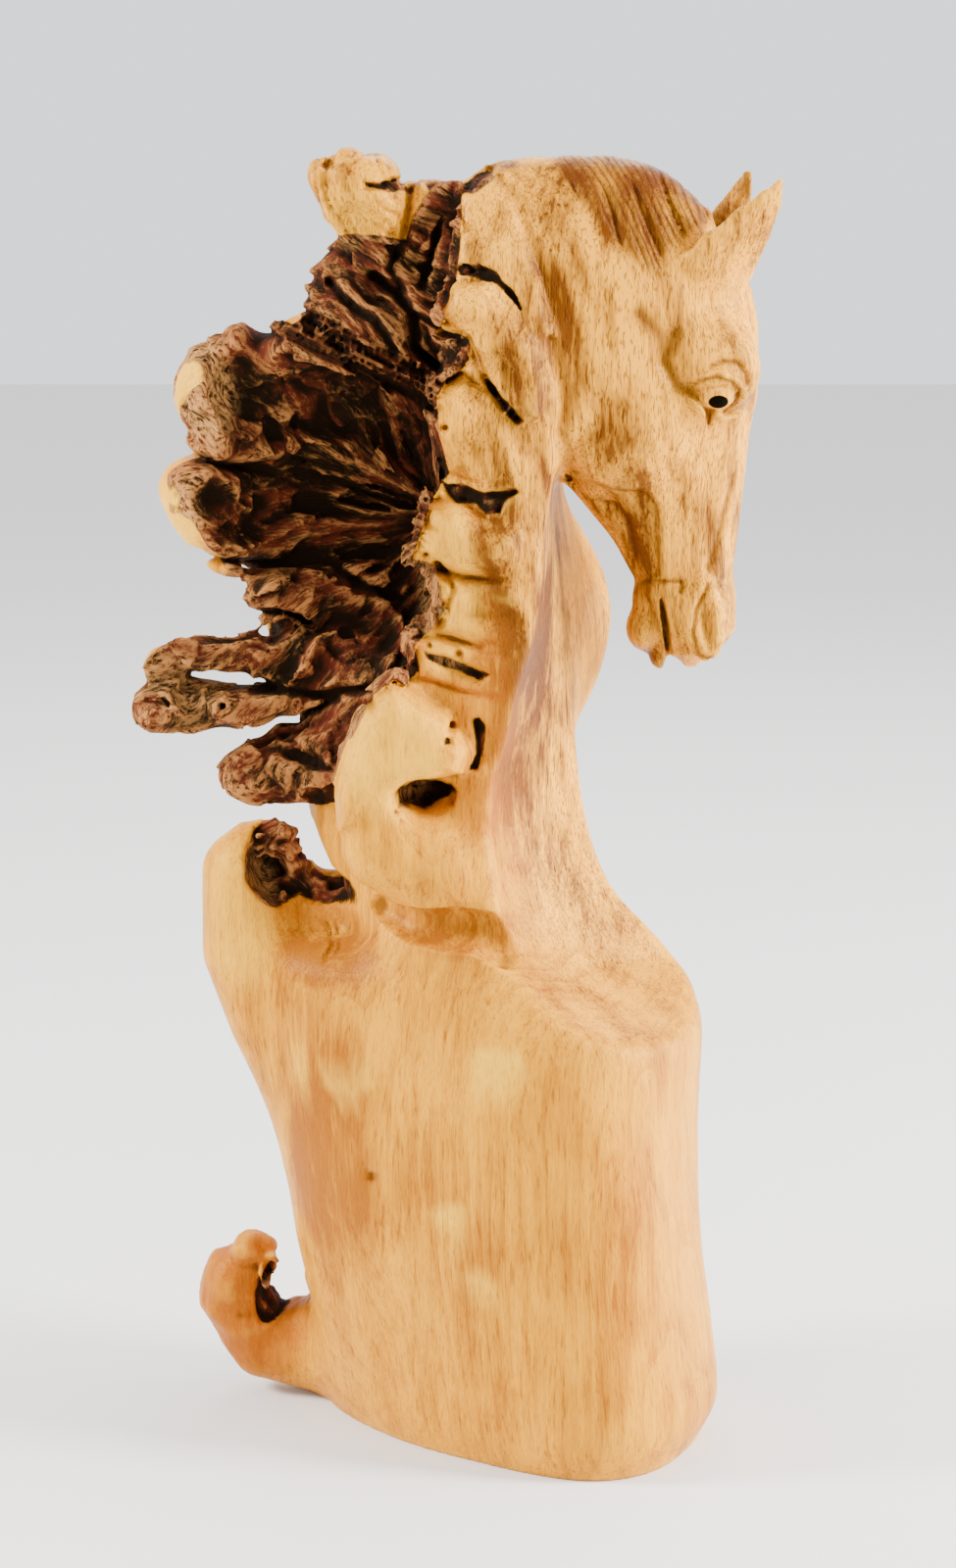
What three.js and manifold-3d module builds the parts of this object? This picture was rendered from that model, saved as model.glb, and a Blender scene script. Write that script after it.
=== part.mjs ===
// A horse carved from one piece of root wood: an upright trunk stands on a sawn flat underside, a smooth
// neck rises from its shoulder and arches over into a bowed head, and the natural root behind the neck is
// left as it grew, a rough bowl with lobes and smooth lumps round its rim.
//
// The frame is in millimetres. +Z is up, +X is the way the head faces, and -Y is the horse's right side,
// called the near side below. The origin is on the flat underside.
//
// The whole figure is one distance field, below zero inside the wood. Rounded forms are added to the field
// and hollows are cut from it, each with a blend. The field's surface is meshed on a grid, thinned to few
// faces, and sawn off flat under the trunk.
import * as THREE from 'three';
import Module from 'manifold-3d';

// Driving sizes, in millimetres
const HEIGHT = 400; // underside to the top of the root
const EAR_LENGTH = 36; // root of an ear to its tip
const EAR_THICKNESS = 7; // through the middle of an ear
const HEAD_WIDTH = 44; // across the cheeks
const MUZZLE_WIDTH = 29; // across the nostrils
const EYE_RADIUS = 6.4; // the eyeball
const MOUTH_GAP = 2.6; // between the lips
const MANE_GROOVE = 1.6; // depth of the cut locks of the mane
const MANE_PITCH = 8.5; // from one lock to the next
const ROOT_ROUGHNESS = 2.2; // height of the bark-like relief in the root's bowl
const TRUNK_DEPTH = 96; // near side to far side of the trunk, at mid height
const SPUR_RADIUS = 15; // the branch stub on the trunk's back
const KNOB_RADIUS = 13; // the curled knob at the foot of the trunk

const UNIT = HEIGHT / 400; // the forms below are drawn for a figure 400 mm tall

// Meshing
const TICKS_X = [[-112, 48, 2.4], [48, 110, 1.5]]; // the field is sampled at these steps, finer at the head
const TICKS_Y = [[-71, -28, 2.4], [-28, 27, 1.6], [27, 66, 2.4]];
const TICKS_Z = [[-20, 165, 3.6], [165, 415, 1.9]];
const BLOCK = 4; // cells along a block that is skipped when the surface is far from it
const SLACK = 0.8; // a block is skipped when the surface lies further off than this share of its diagonal
const FILL = 0.05 * UNIT; // how far inside the wood a filled corner is taken to lie
const TRIANGLES = 9400; // faces kept when the mesh is thinned
const SLIVER = 2e-3; // a small pull towards the middle of an edge keeps flat areas evenly meshed
const EVENNESS = 1e-5; // cost of a long edge, so that short ones are merged first
const FOLD = 0.35; // cosine of the most that a face may turn in one merge
const SMALLEST_FACE = 1e-3; // twice the area of the smallest face, in square millimetres

// Positions along an axis from runs of [from, to, step], to a whole number of blocks.
function ticks(runs) {
  const out = [];
  for (const [from, to, step] of runs) for (let t = from; t < to; t += step) out.push(t * UNIT);
  const step = out[out.length - 1] - out[out.length - 2];
  while (out.length % BLOCK !== 1) out.push(out[out.length - 1] + step);
  return out;
}

// Smooth curve through rows of [position, value, value...], with no overshoot between them.
function curve(rows) {
  const at = rows.map((row) => row[0] * UNIT);
  const columns = rows[0].length - 1;
  const value = (i, c) => rows[i][c + 1];
  const slopes = rows.map((row, i) => {
    const list = [];
    for (let c = 0; c < columns; c++) {
      if (i === 0 || i === rows.length - 1) {
        list.push(0);
        continue;
      }
      const before = (value(i, c) - value(i - 1, c)) / (at[i] - at[i - 1]);
      const after = (value(i + 1, c) - value(i, c)) / (at[i + 1] - at[i]);
      list.push(before * after <= 0 ? 0 : (2 * before * after) / (before + after));
    }
    return list;
  });
  const out = new Float64Array(columns);
  return (t) => {
    let i = 0;
    while (i < at.length - 2 && t > at[i + 1]) i++;
    const span = at[i + 1] - at[i];
    const s = Math.min(1, Math.max(0, (t - at[i]) / span));
    const s2 = s * s;
    const s3 = s2 * s;
    for (let c = 0; c < columns; c++) {
      out[c] =
        value(i, c) * (2 * s3 - 3 * s2 + 1) +
        value(i + 1, c) * (3 * s2 - 2 * s3) +
        span * (slopes[i][c] * (s3 - 2 * s2 + s) + slopes[i + 1][c] * (s3 - s2));
    }
    return out;
  };
}

// A rounded limb through points [x, y, z, radius]. flat thins it along the unit vector thin.
function limb(points, { thin = null, flat = 1 } = {}) {
  const p = points.map((row) => row.map((v) => v * UNIT));
  const box = new THREE.Box3();
  for (const [x, y, z] of p) box.expandByPoint(new THREE.Vector3(x, y, z));
  const ball = box.getBoundingSphere(new THREE.Sphere());
  const reach = ball.radius + Math.max(...p.map((row) => row[3]));
  const extra = flat * flat - 1;
  return {
    centre: ball.center,
    reach,
    distance(x, y, z) {
      let best = Infinity;
      for (let i = 0; i < p.length - 1; i++) {
        const [ax, ay, az, ar] = p[i];
        const [bx, by, bz, br] = p[i + 1];
        const ux = bx - ax;
        const uy = by - ay;
        const uz = bz - az;
        const px = x - ax;
        const py = y - ay;
        const pz = z - az;
        const length2 = ux * ux + uy * uy + uz * uz;
        const t = Math.min(1, Math.max(0, (px * ux + py * uy + pz * uz) / length2));
        const dx = px - t * ux;
        const dy = py - t * uy;
        const dz = pz - t * uz;
        let square = dx * dx + dy * dy + dz * dz;
        let ease = 1;
        if (thin) {
          const across = dx * thin[0] + dy * thin[1] + dz * thin[2];
          const wide = square;
          square += extra * across * across;
          ease = square > 0 ? Math.sqrt(wide / square) : 1;
        }
        const r = ar + (br - ar) * t;
        const d = (Math.sqrt(square) - r) * (ease < 1 ? Math.max(ease, 1 / flat) : 1);
        if (d < best) best = d;
      }
      return best;
    },
  };
}

// An egg-shaped form: centre [x, y, z], half sizes [a, b, c], turned by degrees about the Y axis.
function egg(centre, half, turn = 0) {
  const [cx, cy, cz] = centre.map((v) => v * UNIT);
  const [a, b, c] = half.map((v) => v * UNIT);
  const cos = Math.cos(THREE.MathUtils.degToRad(turn));
  const sin = Math.sin(THREE.MathUtils.degToRad(turn));
  return {
    centre: new THREE.Vector3(cx, cy, cz),
    reach: Math.max(a, b, c),
    distance(x, y, z) {
      const u = (cos * (x - cx) - sin * (z - cz)) / a;
      const v = (y - cy) / b;
      const w = (sin * (x - cx) + cos * (z - cz)) / c;
      const k0 = Math.sqrt(u * u + v * v + w * w);
      const k1 = Math.sqrt((u / a) ** 2 + (v / b) ** 2 + (w / c) ** 2);
      return k1 > 0 ? (k0 * (k0 - 1)) / k1 : -Math.min(a, b, c);
    },
  };
}

// An upright form whose level sections are rounded boxes. Each row is
// [height, back x, front x, near y, far y, squareness, taper], and taper narrows the front of a section.
// turn is the plan angle in degrees, top and foot are the heights it ends at, and ease rounds those ends.
function upright(rows, { turn = 0, foot, top, ease = 4 }) {
  const section = curve(rows);
  const cos = Math.cos(THREE.MathUtils.degToRad(turn));
  const sin = Math.sin(THREE.MathUtils.degToRad(turn));
  const low = foot * UNIT;
  const high = top * UNIT;
  const widest = Math.max(...rows.map((row) => Math.max(...row.slice(1, 5).map(Math.abs)))) * UNIT * 1.5;
  return {
    centre: new THREE.Vector3(0, 0, (low + high) / 2),
    reach: Math.hypot(widest, (high - low) / 2),
    distance(x, y, z) {
      const s = section(Math.min(high, Math.max(low, z)));
      const [back, front, near, far] = [s[0] * UNIT, s[1] * UNIT, s[2] * UNIT, s[3] * UNIT];
      const n = s[4];
      const px = x * cos + y * sin - (back + front) / 2;
      const py = -x * sin + y * cos - (near + far) / 2;
      const a = (front - back) / 2;
      const u = px / a;
      const b = ((far - near) / 2) * (1 - s[5] * Math.min(1, Math.max(-1, u)));
      const v = py / b;
      const pu = Math.abs(u) ** n;
      const pv = Math.abs(v) ** n;
      const q = (pu + pv) ** (1 / n);
      const gu = Math.abs(u) ** (n - 1) / a;
      const gv = Math.abs(v) ** (n - 1) / b;
      const slope = q > 1e-6 ? Math.hypot(gu, gv) / q ** (n - 1) : 1 / Math.min(a, b);
      const side = (q - 1) / slope;
      return soften(side, Math.max(z - high, low - z), -ease * UNIT);
    },
  };
}

// How far inside a closed outline (x, z) a point lies, negative outside it.
function outlineDepth(points, x, z) {
  let best = Infinity;
  let inside = false;
  for (let i = 0; i < points.length; i++) {
    const [ax, az] = points[i];
    const [bx, bz] = points[(i + 1) % points.length];
    const ux = bx - ax;
    const uz = bz - az;
    const t = Math.min(1, Math.max(0, ((x - ax) * ux + (z - az) * uz) / (ux * ux + uz * uz)));
    best = Math.min(best, Math.hypot(x - ax - t * ux, z - az - t * uz));
    if (az > z !== bz > z && x < ax + ((z - az) * ux) / uz) inside = !inside;
  }
  return inside ? best : -best;
}

// A plate whose outline (x, z) is drawn in the side view, from near y to far y, its edges rounded by ease.
// Its sides lean back by lean for each millimetre above its middle.
function slab(outline, { near, far, ease, lean = 0 }) {
  const p = outline.map(([x, z]) => [x * UNIT, z * UNIT]);
  const box = new THREE.Box3();
  for (const [x, z] of p) for (const y of [near, far]) box.expandByPoint(new THREE.Vector3(x, y * UNIT, z));
  const { center: centre, radius } = box.getBoundingSphere(new THREE.Sphere());
  const half = ((far - near) / 2) * UNIT;
  return {
    centre,
    reach: radius,
    distance(x, y, z) {
      const across = Math.abs(y - centre.y - lean * (z - centre.z)) - half;
      return soften(-outlineDepth(p, x, z), across, -ease * UNIT);
    },
  };
}

// The space in front of an upright wall that is slightly hollow in plan. Each row is
// [height, x, y of the wall's left edge, x, y of its right edge, sag of the arc between them].
function hollow(rows) {
  const wall = curve(rows);
  const low = rows[0][0] * UNIT;
  const high = rows[rows.length - 1][0] * UNIT;
  const plan = (x, y, z) => {
    const [x1, y1, x2, y2, sag] = wall(Math.min(high, Math.max(low, z))).map((v) => v * UNIT);
    const chord = Math.hypot(x2 - x1, y2 - y1);
    const radius = (chord * chord) / (8 * sag) + sag / 2;
    const outX = (y2 - y1) / chord;
    const outY = -(x2 - x1) / chord;
    const cx = (x1 + x2) / 2 + outX * (radius - sag);
    const cy = (y1 + y2) / 2 + outY * (radius - sag);
    return Math.hypot(x - cx, y - cy) - radius;
  };
  return {
    centre: new THREE.Vector3(0, 0, (low + high) / 2),
    reach: high - low,
    distance(x, y, z) {
      const d = plan(x, y, z);
      const slope = plan(x, y, z + UNIT) / UNIT - d / UNIT;
      return Math.max(d / Math.hypot(1, slope), low - z, z - high);
    },
  };
}

// The smaller of a and b with a blend of width k, or the larger of them where k is negative.
function soften(a, b, k) {
  const w = Math.abs(k);
  const h = Math.max(w - Math.abs(a - b), 0);
  const bend = w > 0 ? (h * h) / (4 * w) : 0;
  return k < 0 ? Math.max(a, b) + bend : Math.min(a, b) - bend;
}

// Repeatable value noise from -1 to 1, with the given wavelength.
function noise(x, y, z, wavelength, seed) {
  const px = x / wavelength + seed * 17.3;
  const py = y / wavelength + seed * 9.1;
  const pz = z / wavelength + seed * 5.7;
  const ix = Math.floor(px);
  const iy = Math.floor(py);
  const iz = Math.floor(pz);
  const ease = (t) => t * t * (3 - 2 * t);
  const fx = ease(px - ix);
  const fy = ease(py - iy);
  const fz = ease(pz - iz);
  const corner = (i, j, k) => {
    let h = Math.imul(ix + i, 374761393) ^ Math.imul(iy + j, 668265263) ^ Math.imul(iz + k, 1274126177);
    h = Math.imul(h ^ (h >>> 13), 1103515245);
    return ((h ^ (h >>> 16)) >>> 0) / 2147483648 - 1;
  };
  const mix = (a, b, t) => a + (b - a) * t;
  const level = (k) =>
    mix(mix(corner(0, 0, k), corner(1, 0, k), fx), mix(corner(0, 1, k), corner(1, 1, k), fx), fy);
  return mix(level(0), level(1), fz);
}

const HEAD_MIDDLE = -1; // y of the head's middle plane

// Steps of the sculpture, in order. Each adds or cuts a form with a blend of that width.
const steps = [];
const add = (form, blend) => steps.push({ form, blend: blend * UNIT, cut: false });
const cut = (form, blend) => steps.push({ form, blend: blend * UNIT, cut: true });

function makeTrunk() {
  const half = TRUNK_DEPTH / 2 / UNIT;
  // in a plan turned so that one corner points near and right
  add(
    upright(
      [
        [0, -37, 81, 13 - half, half - 9, 2.6, -0.3],
        [14, -41, 84.5, 11 - half, half - 7, 2.6, -0.3],
        [34, -46, 82, 9 - half, half - 5, 2.7, -0.24],
        [60, -50, 78.5, 7 - half, half - 4, 2.8, -0.16],
        [95, -53, 75.5, 5 - half, half - 1, 3, -0.1],
        [130, -62, 73.5, 7 - half, half - 2, 3, -0.08],
        [165, -70, 60, 11 - half, half - 5, 2.8, 0],
      ],
      { turn: -24, foot: -9, top: 160, ease: 20 },
    ),
    0,
  );
  // shallow flutes down the near face
  cut(limb([[-34, -66, 150, 22], [-26, -70, 90, 22], [-22, -70, 40, 18]]), 16);
}

function makeTail() {
  const r = KNOB_RADIUS / UNIT;
  add(limb([[-10, 16, 18, 26], [-38, 24, 15, 16], [-60, 26, 17, r], [-70, 24, 32, r - 1]]), 14);
  add(limb([[-69, 22, 40, r - 2], [-63, 20, 48, 7]]), 5);
  cut(egg([-54, 10, 42], [3.2, 12, 10], 24), 3);
}

function makeSpur() {
  const r = SPUR_RADIUS / UNIT;
  add(limb([[-36, 8, 92, r], [-55, 8, 130, r], [-62.5, 8, 152, r + 0.5], [-63, 8, 176, r]]), 10);
  add(limb([[-60, 8, 184, 9], [-54, 6, 189, 5]]), 4);
  cut(egg([-55, -4, 181], [6.5, 12, 9], 20), 3);
  add(limb([[-48, 14, 158, 15], [-34, 10, 163, 14], [-20, 8, 164, 13]]), 6);
}

function makeNeck() {
  add(
    upright(
      [
        [90, 0, 68, -36, 36, 2.4, 0],
        [112, -6, 72, -40, 40, 2.4, 0],
        [130, -12, 75, -42, 42, 2.3, 0],
        [142, -18, 73, -41, 41, 2.3, 0],
        [153, -22, 65, -40, 38, 2.3, 0],
        [168, -24, 53, -40, 35, 2.4, 0],
        [185, -24, 45, -38, 32, 2.5, 0],
        [205, -16, 40.5, -36, 30, 2.6, 0],
        [230, -6, 38, -34, 29, 2.8, 0],
        [262, 2, 36, -33, 28, 3, 0],
        [300, 3, 31.5, -32, 28, 3, 0],
        [330, 2, 34, -31, 27, 3, 0],
      ],
      { foot: 92, top: 340, ease: 12 },
    ),
    14,
  );
}

function makeArch() {
  add(
    upright(
      [
        [300, -2, 36, -28, 26, 2.8, 0],
        [325, -4, 60, -27, 24, 2.6, 0],
        [345, -4, 74, -26, 23, 2.5, 0],
        [365, -2, 78, -24, 21, 2.4, 0],
        [380, 2, 77, -20, 17, 2.3, 0],
        [388, 7, 70, -17, 14, 2.3, 0],
        [394, 11, 62, -13, 11, 2.3, 0],
        [398, 13, 53, -10, 8, 2.3, 0],
      ],
      { foot: 300, top: 397, ease: 6 },
    ),
    8,
  );
}

function makeHead() {
  const w = HEAD_WIDTH / 2 / UNIT;
  const m = MUZZLE_WIDTH / 2 / UNIT;
  const row = (z, back, front, half, square, taper) => [
    z, back, front, HEAD_MIDDLE - half, HEAD_MIDDLE + half, square, taper,
  ];
  // skull, cheeks, nose and muzzle in one run of sections
  add(
    upright(
      [
        row(244, 69, 78, m * 0.5, 2.2, 0),
        row(249, 64, 83, m * 0.78, 2.4, 0.05),
        row(256, 62, 87.5, m * 0.96, 2.4, 0.08),
        row(264, 60, 87.5, m, 2.4, 0.1),
        row(273, 55, 86.5, m * 0.92, 2.5, 0.12),
        row(282, 50, 87.5, w * 0.62, 2.6, 0.2),
        row(292, 42, 88.5, w * 0.72, 2.6, 0.26),
        row(302, 34, 89.5, w * 0.84, 2.5, 0.3),
        row(314, 28, 90.5, w * 0.94, 2.5, 0.28),
        row(330, 26, 93, w, 2.4, 0.2),
        row(345, 28, 93, w, 2.3, 0.16),
        row(357, 34, 91, w * 0.92, 2.2, 0.12),
        row(368, 42, 86, w * 0.78, 2.2, 0.05),
        row(380, 50, 77, w * 0.55, 2.1, 0),
      ],
      { foot: 243, top: 381, ease: 5 },
    ),
    7,
  );
  for (const side of [-1, 1]) {
    const y = (reach) => HEAD_MIDDLE + side * reach;
    // the cheek's disc, the hollow of the jaw under it, and the bone along the nose
    add(egg([50, y(w - 6.5), 320], [20, 8, 19], 20), 6);
    cut(limb([[45, y(w - 3), 290, 7.5], [59, y(w - 4.5), 270, 6.5]]), 1.5);
    cut(egg([80, y(w + 1), 290], [4, 9.5, 26], -3), 5);
  }
  // chin and lower lip
  add(egg([59.5, HEAD_MIDDLE, 255], [5.5, m * 0.72, 7]), 3);
  add(limb([[62, HEAD_MIDDLE, 264, 8], [64.5, HEAD_MIDDLE, 247, 4.8]], { thin: [1, 0, 0], flat: 1.3 }), 3);
}

function makeFace() {
  const w = HEAD_WIDTH / 2 / UNIT;
  const m = MUZZLE_WIDTH / 2 / UNIT;
  const r = EYE_RADIUS / UNIT;
  const gap = MOUTH_GAP / 2 / UNIT;
  for (const side of [-1, 1]) {
    const y = (reach) => HEAD_MIDDLE + side * reach;
    // brow, socket, eyeball and lids
    add(egg([77.5, y(w - 8), 336.5], [15.5, 8.2, 13.5], 20), 6);
    cut(egg([80, y(w + 4.5), 326], [8.6, 6, 5], 12), 1.5);
    add(egg([80, y(w - 4.4), 326], [r, r * 0.85, r * 0.8]), 0.6);
    add(
      limb([
        [72.5, y(w - 0.6), 328, 1.4], [77, y(w + 0.8), 331.6, 2], [83, y(w + 0.4), 331.6, 1.9],
        [87.5, y(w - 2.4), 327.5, 1.5],
      ]),
      1.2,
    );
    add(
      limb([
        [73, y(w - 0.8), 326.5, 1.2], [78, y(w - 0.2), 321.4, 1.4], [84.5, y(w - 1.4), 321.6, 1.3],
        [87.5, y(w - 2.6), 325.5, 1.2],
      ]),
      1.2,
    );
    // nostril and its wing
    add(egg([77, y(m - 2.8), 259], [6.5, 4, 13], -6), 3);
    cut(egg([77.5, y(m + 2.6), 258.5], [3.2, 3.8, 9], -8), 2);
    cut(egg([85, y(m - 1), 258], [2.6, 3, 2.6]), 1.5);
    // the slit of the mouth, cut in from each side
    const slit = [
      [63.6, y(m + 1), 268, gap * 1.2], [65.6, y(m + 1), 258, gap * 2], [67.8, y(m + 1), 240, gap * 2.2],
    ];
    cut(limb(slit, { thin: [1, 0, 0.1], flat: 1.9 }), 1);
    cut(egg([65.5, y(m - 1), 254], [gap, m - 3.5, 13], -8), 0.8);
  }
  cut(egg([68.6, HEAD_MIDDLE, 241], [gap * 2.2, m + 8, 6], -12), 1);
}

function makeEars() {
  const reach = EAR_LENGTH / 36 / UNIT;
  const grow = (root, row) => [
    root[0] + (row[0] - root[0]) * reach, root[1] + (row[1] - root[1]) * reach,
    root[2] + (row[2] - root[2]) * reach, row[3],
  ];
  const near = [
    [73, -12, 357, 12], [81, -16, 366.5, 11.5], [88, -18.6, 376, 8.2], [93.8, -20.2, 384, 4.8],
    [97.5, -20.6, 390, 1.7],
  ];
  const far = [
    [74, 10, 358, 10], [80, 13, 369, 8.6], [85.5, 15, 379, 5.8], [88.8, 15.8, 387, 3],
    [90.3, 16, 391.2, 1.4],
  ];
  const flatness = (11 * UNIT) / (EAR_THICKNESS / 2);
  add(limb(near.map((row) => grow(near[0], row)), { thin: [0.42, -0.86, -0.29], flat: flatness }), 3);
  add(limb(far.map((row) => grow(far[0], row)), { thin: [0.42, 0.86, -0.29], flat: flatness }), 3);
  cut(limb([[88, -25, 360, 5], [93, -26, 370, 4.5], [97, -26, 380, 3]]), 2);
  cut(limb([[86, 22, 362, 5], [91, 23.5, 373, 4.5], [92, 23, 382, 3]]), 2);
}

// Locks of the mane: grooves cut at a slant across the crest, fading out down the side of the neck.
function maneDepth(x, z) {
  const along = x * 0.9 + z * 0.43;
  const wave = 0.5 - 0.5 * Math.cos((2 * Math.PI * along) / (MANE_PITCH * UNIT));
  const rise = THREE.MathUtils.smoothstep(z, 354 * UNIT, 378 * UNIT);
  const front = 1 - THREE.MathUtils.smoothstep(x, 72 * UNIT, 80 * UNIT);
  const back = THREE.MathUtils.smoothstep(x, 18 * UNIT, 34 * UNIT);
  return MANE_GROOVE * wave * rise * front * back;
}

function makeRoot() {
  // the body of the root behind the neck, and two cupped lobes at its left
  add(egg([-12, 16, 284], [50, 32, 80], -4), 10);
  add(limb([[-60, 6, 316, 20], [-68, 5, 326, 16], [-64, 3, 343, 5.5]]), 6);
  add(egg([-62, 7, 290], [28, 18, 19], 24), 5);
  // the bowl that opens on the near side, and the hollow of each lobe
  cut(egg([-31, -34, 292], [46, 54, 62], 0), 5);
  cut(egg([-54, -14, 322], [24, 21, 15], 40), 3);
  cut(egg([-54, -11, 291], [25, 17, 9.5], 14), 3);
  cut(egg([-42, -14, 272], [24, 18, 6], -16), 3);
  // ribs across the bowl's floor
  add(limb([[-14, 22, 300, 8], [-46, 14, 310, 5], [-76, 0, 309, 4.5]]), 3);
  add(limb([[-14, 23, 284, 8], [-44, 16, 282, 4.5], [-70, 4, 276, 5]]), 3);
  add(limb([[-16, 18, 262, 10], [-54, 6, 264, 8.5]]), 4);
  add(limb([[-10, 24, 318, 8], [-34, 14, 334, 5.5], [-44, 6, 342, 5]]), 3);
  add(limb([[-57, 5, 338, 6.5], [-42, 1, 343, 8], [-18, -3, 346, 10]]), 4);
}

// Fingers of root below the bowl, and the strut that joins them to the trunk.
function makeFingers() {
  add(limb([[-20, 14, 248, 12], [-56, 4, 246, 7], [-88, 0, 243, 6]]), 4);
  add(limb([[-20, 14, 236, 11], [-58, 4, 233, 8], [-91, 0, 229, 7.5]]), 4);
  cut(egg([-74, -8, 240], [20, 7, 3], 3), 2);
  add(limb([[-16, 10, 224, 13], [-44, 4, 213, 11.5], [-60.5, 2, 208, 9]]), 5);
  add(limb([[-24, 8, 222, 13], [-34, 4, 198, 10], [-22, -6, 170, 9]]), 5);
  cut(egg([-46, -8, 216], [14, 5, 3.5], 24), 2);
}

function makeRootTop() {
  // the knob at the very top, the split planks beside it, and the slanting ribs below
  const knob = [
    [-15, 396], [-31, 400.5], [-38, 396], [-39, 386], [-37, 379], [-31.5, 373.5], [-17, 363.5], [-11.5, 386],
  ];
  add(slab(knob, { near: -17, far: 10, ease: 9 }), 3);
  add(egg([-24, -8, 387], [11, 13, 9], 30), 4);
  add(egg([-38, -7, 391.5], [4.5, 7, 5.5]), 1.5);
  add(limb([[-2, 2, 352, 14], [-4, 0, 380, 11]]), 4);
  add(egg([-18, 2, 352], [24, 14, 20], 30), 6);
  add(limb([[13, -10, 384, 10], [14, -15, 366, 12], [18, -18, 350, 10]]), 6);
  const planks = [[-16, 390], [-20, 362], [-8, 354], [4, 358], [6, 390]];
  add(slab(planks, { near: -13, far: 8, ease: 2 }), 1.5);
  for (let i = 0; i < 3; i++) {
    const [x, z] = [-26 + 9 * i, 341 + 9 * i];
    cut(egg([x, -12 - 2 * i, z], [17, 9, 1.9], 38), 1.5);
  }
  cut(egg([-12, -12, 374], [1.6, 9, 15], 12), 1.5);
  cut(egg([-5, -16, 370], [2.4, 12, 12], 16), 1);
  cut(egg([-4, 0, 396], [11, 16, 4]), 3);
}

// The sanded rim of the root on the near side, which overhangs the bowl and sweeps down from the crest.
function makeRim() {
  const rim = [
    [2, 361], [-1, 352], [5, 346], [8, 339], [-1, 333], [-4, 328], [-3, 316], [0, 304], [-6, 296],
    [-11, 280], [-4, 277.5], [-1.5, 263], [-8, 257], [-11, 254], [-9, 246], [-16, 240], [-20, 214],
    [-20, 180], [30, 180], [30, 250], [31.5, 313], [31.5, 330], [27, 362],
  ];
  const top = [
    [11, 394], [4, 387], [3, 371], [2, 361], [-1, 352], [-4, 346], [31, 346], [29.5, 352], [27, 363],
    [23.5, 375], [18.5, 386], [13, 393.5],
  ];
  add(slab(rim, { near: -29, far: -10, ease: 4 }), 3);
  add(slab(top, { near: -24.5, far: -6, ease: 4, lean: 0.28 }), 3);
}

// Smooth lumps along the rim, from the top down, each with its nearest y, and the clefts between them.
function makeLumps() {
  const lumps = [
    { near: -36, outline: [
      [2, 360], [-1.5, 352], [6, 346], [10.5, 336], [17, 325], [22, 320], [27, 322], [28.5, 331],
      [26, 344], [17, 353], [11, 361],
    ] },
    { near: -34, outline: [
      [-4.5, 330], [-3.5, 318], [0, 306], [12, 303], [21, 306], [23, 314], [18, 320], [12, 328], [4, 333],
    ] },
    { near: -37, outline: [
      [-6, 296], [-12, 279.5], [-4, 278], [3.5, 275], [15, 275], [21, 280], [20, 288], [11, 291], [2, 297],
    ] },
    { near: -34, outline: [
      [-5, 275], [-1, 262.5], [-2.5, 258], [9, 255], [19, 258], [22, 267], [19, 273], [9, 273],
    ] },
    { near: -34, outline: [
      [-11, 255], [-8.5, 245], [3.5, 241], [15, 240], [17, 250], [9, 252], [-2.5, 255],
    ] },
  ];
  for (const { near, outline } of lumps) add(slab(outline, { near, far: -18, ease: 8 }), 3);
  cut(limb([[3, -35, 365, 2.2], [13.5, -35, 363, 2.2], [21, -35, 354, 1.8]]), 1.5);
  cut(limb([[10, -37, 334, 2], [16, -37, 326, 2.4], [21, -36, 320.5, 1.6]]), 1.5);
  cut(egg([9, -37, 298.5], [10, 9, 3.6], 5), 2);
  // the dished faces of the lumps
  cut(egg([17, -42, 334], [7, 10, 10], -30), 3);
  cut(egg([8, -43, 312], [10, 11, 8]), 4);
  cut(egg([9, -42, 263], [9, 11, 6]), 4);
}

// The big looped lump over the trunk, with a dark hole under its nose.
function makeLoop() {
  const head = [
    [-23, 239], [-16.5, 244.5], [-1, 234], [6, 224], [4, 216], [-4, 213.5], [-17, 212], [-25, 204],
    [-33, 199], [-34, 208], [-29.5, 225],
  ];
  add(slab(head, { near: -45, far: -22, ease: 10 }), 3);
  const bend = [
    [-18, -33, 230, 10], [-23, -32, 210, 11], [-19, -32, 193, 14], [-4, -31, 186, 15], [10, -27, 190, 12],
  ];
  add(limb(bend, { thin: [0, 1, 0], flat: 1.25 }), 5);
  cut(egg([-7, -44, 209], [9.5, 22, 6.5], 8), 2.5);
  cut(egg([11, -44, 222], [5, 9, 7]), 3);
}

// The throat and breast, hollowed like a spoon that ends in a rim over the trunk. Each row gives the height,
// the plan point on the near ridge, the plan point on the neck's front outline, and the depth below their
// chord.
function makeBreast() {
  cut(
    hollow([
      [128, 66, -68, 92, -34, 2],
      [135, 51, -56, 82, -18, 3],
      [142, 38, -49, 75, -8, 4],
      [152, 25, -43, 66, 0, 5],
      [166, 16, -40, 55, 0, 4.5],
      [185, 13, -38, 46, 2, 4.5],
      [205, 12, -36, 41, 2, 4],
      [230, 17, -34, 38.6, 2, 3],
      [262, 26, -33, 36.8, 4, 2],
      [300, 30.5, -33, 32.5, 6, 0.5],
      [330, 42, -36, 42, 8, 0.3],
    ]),
    3.5,
  );
}

// The root's lobe on the far side, seen past the neck, and bosses over its back.
function makeFarSide() {
  add(egg([26, 24, 254], [24, 14, 37], 4), 6);
  add(egg([-28, 34, 316], [24, 14, 24]), 8);
  add(egg([-30, 33, 268], [22, 14, 22]), 8);
  add(egg([2, 34, 300], [20, 12, 30]), 8);
  add(egg([-8, 32, 226], [24, 14, 26], 20), 8);
}

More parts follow.
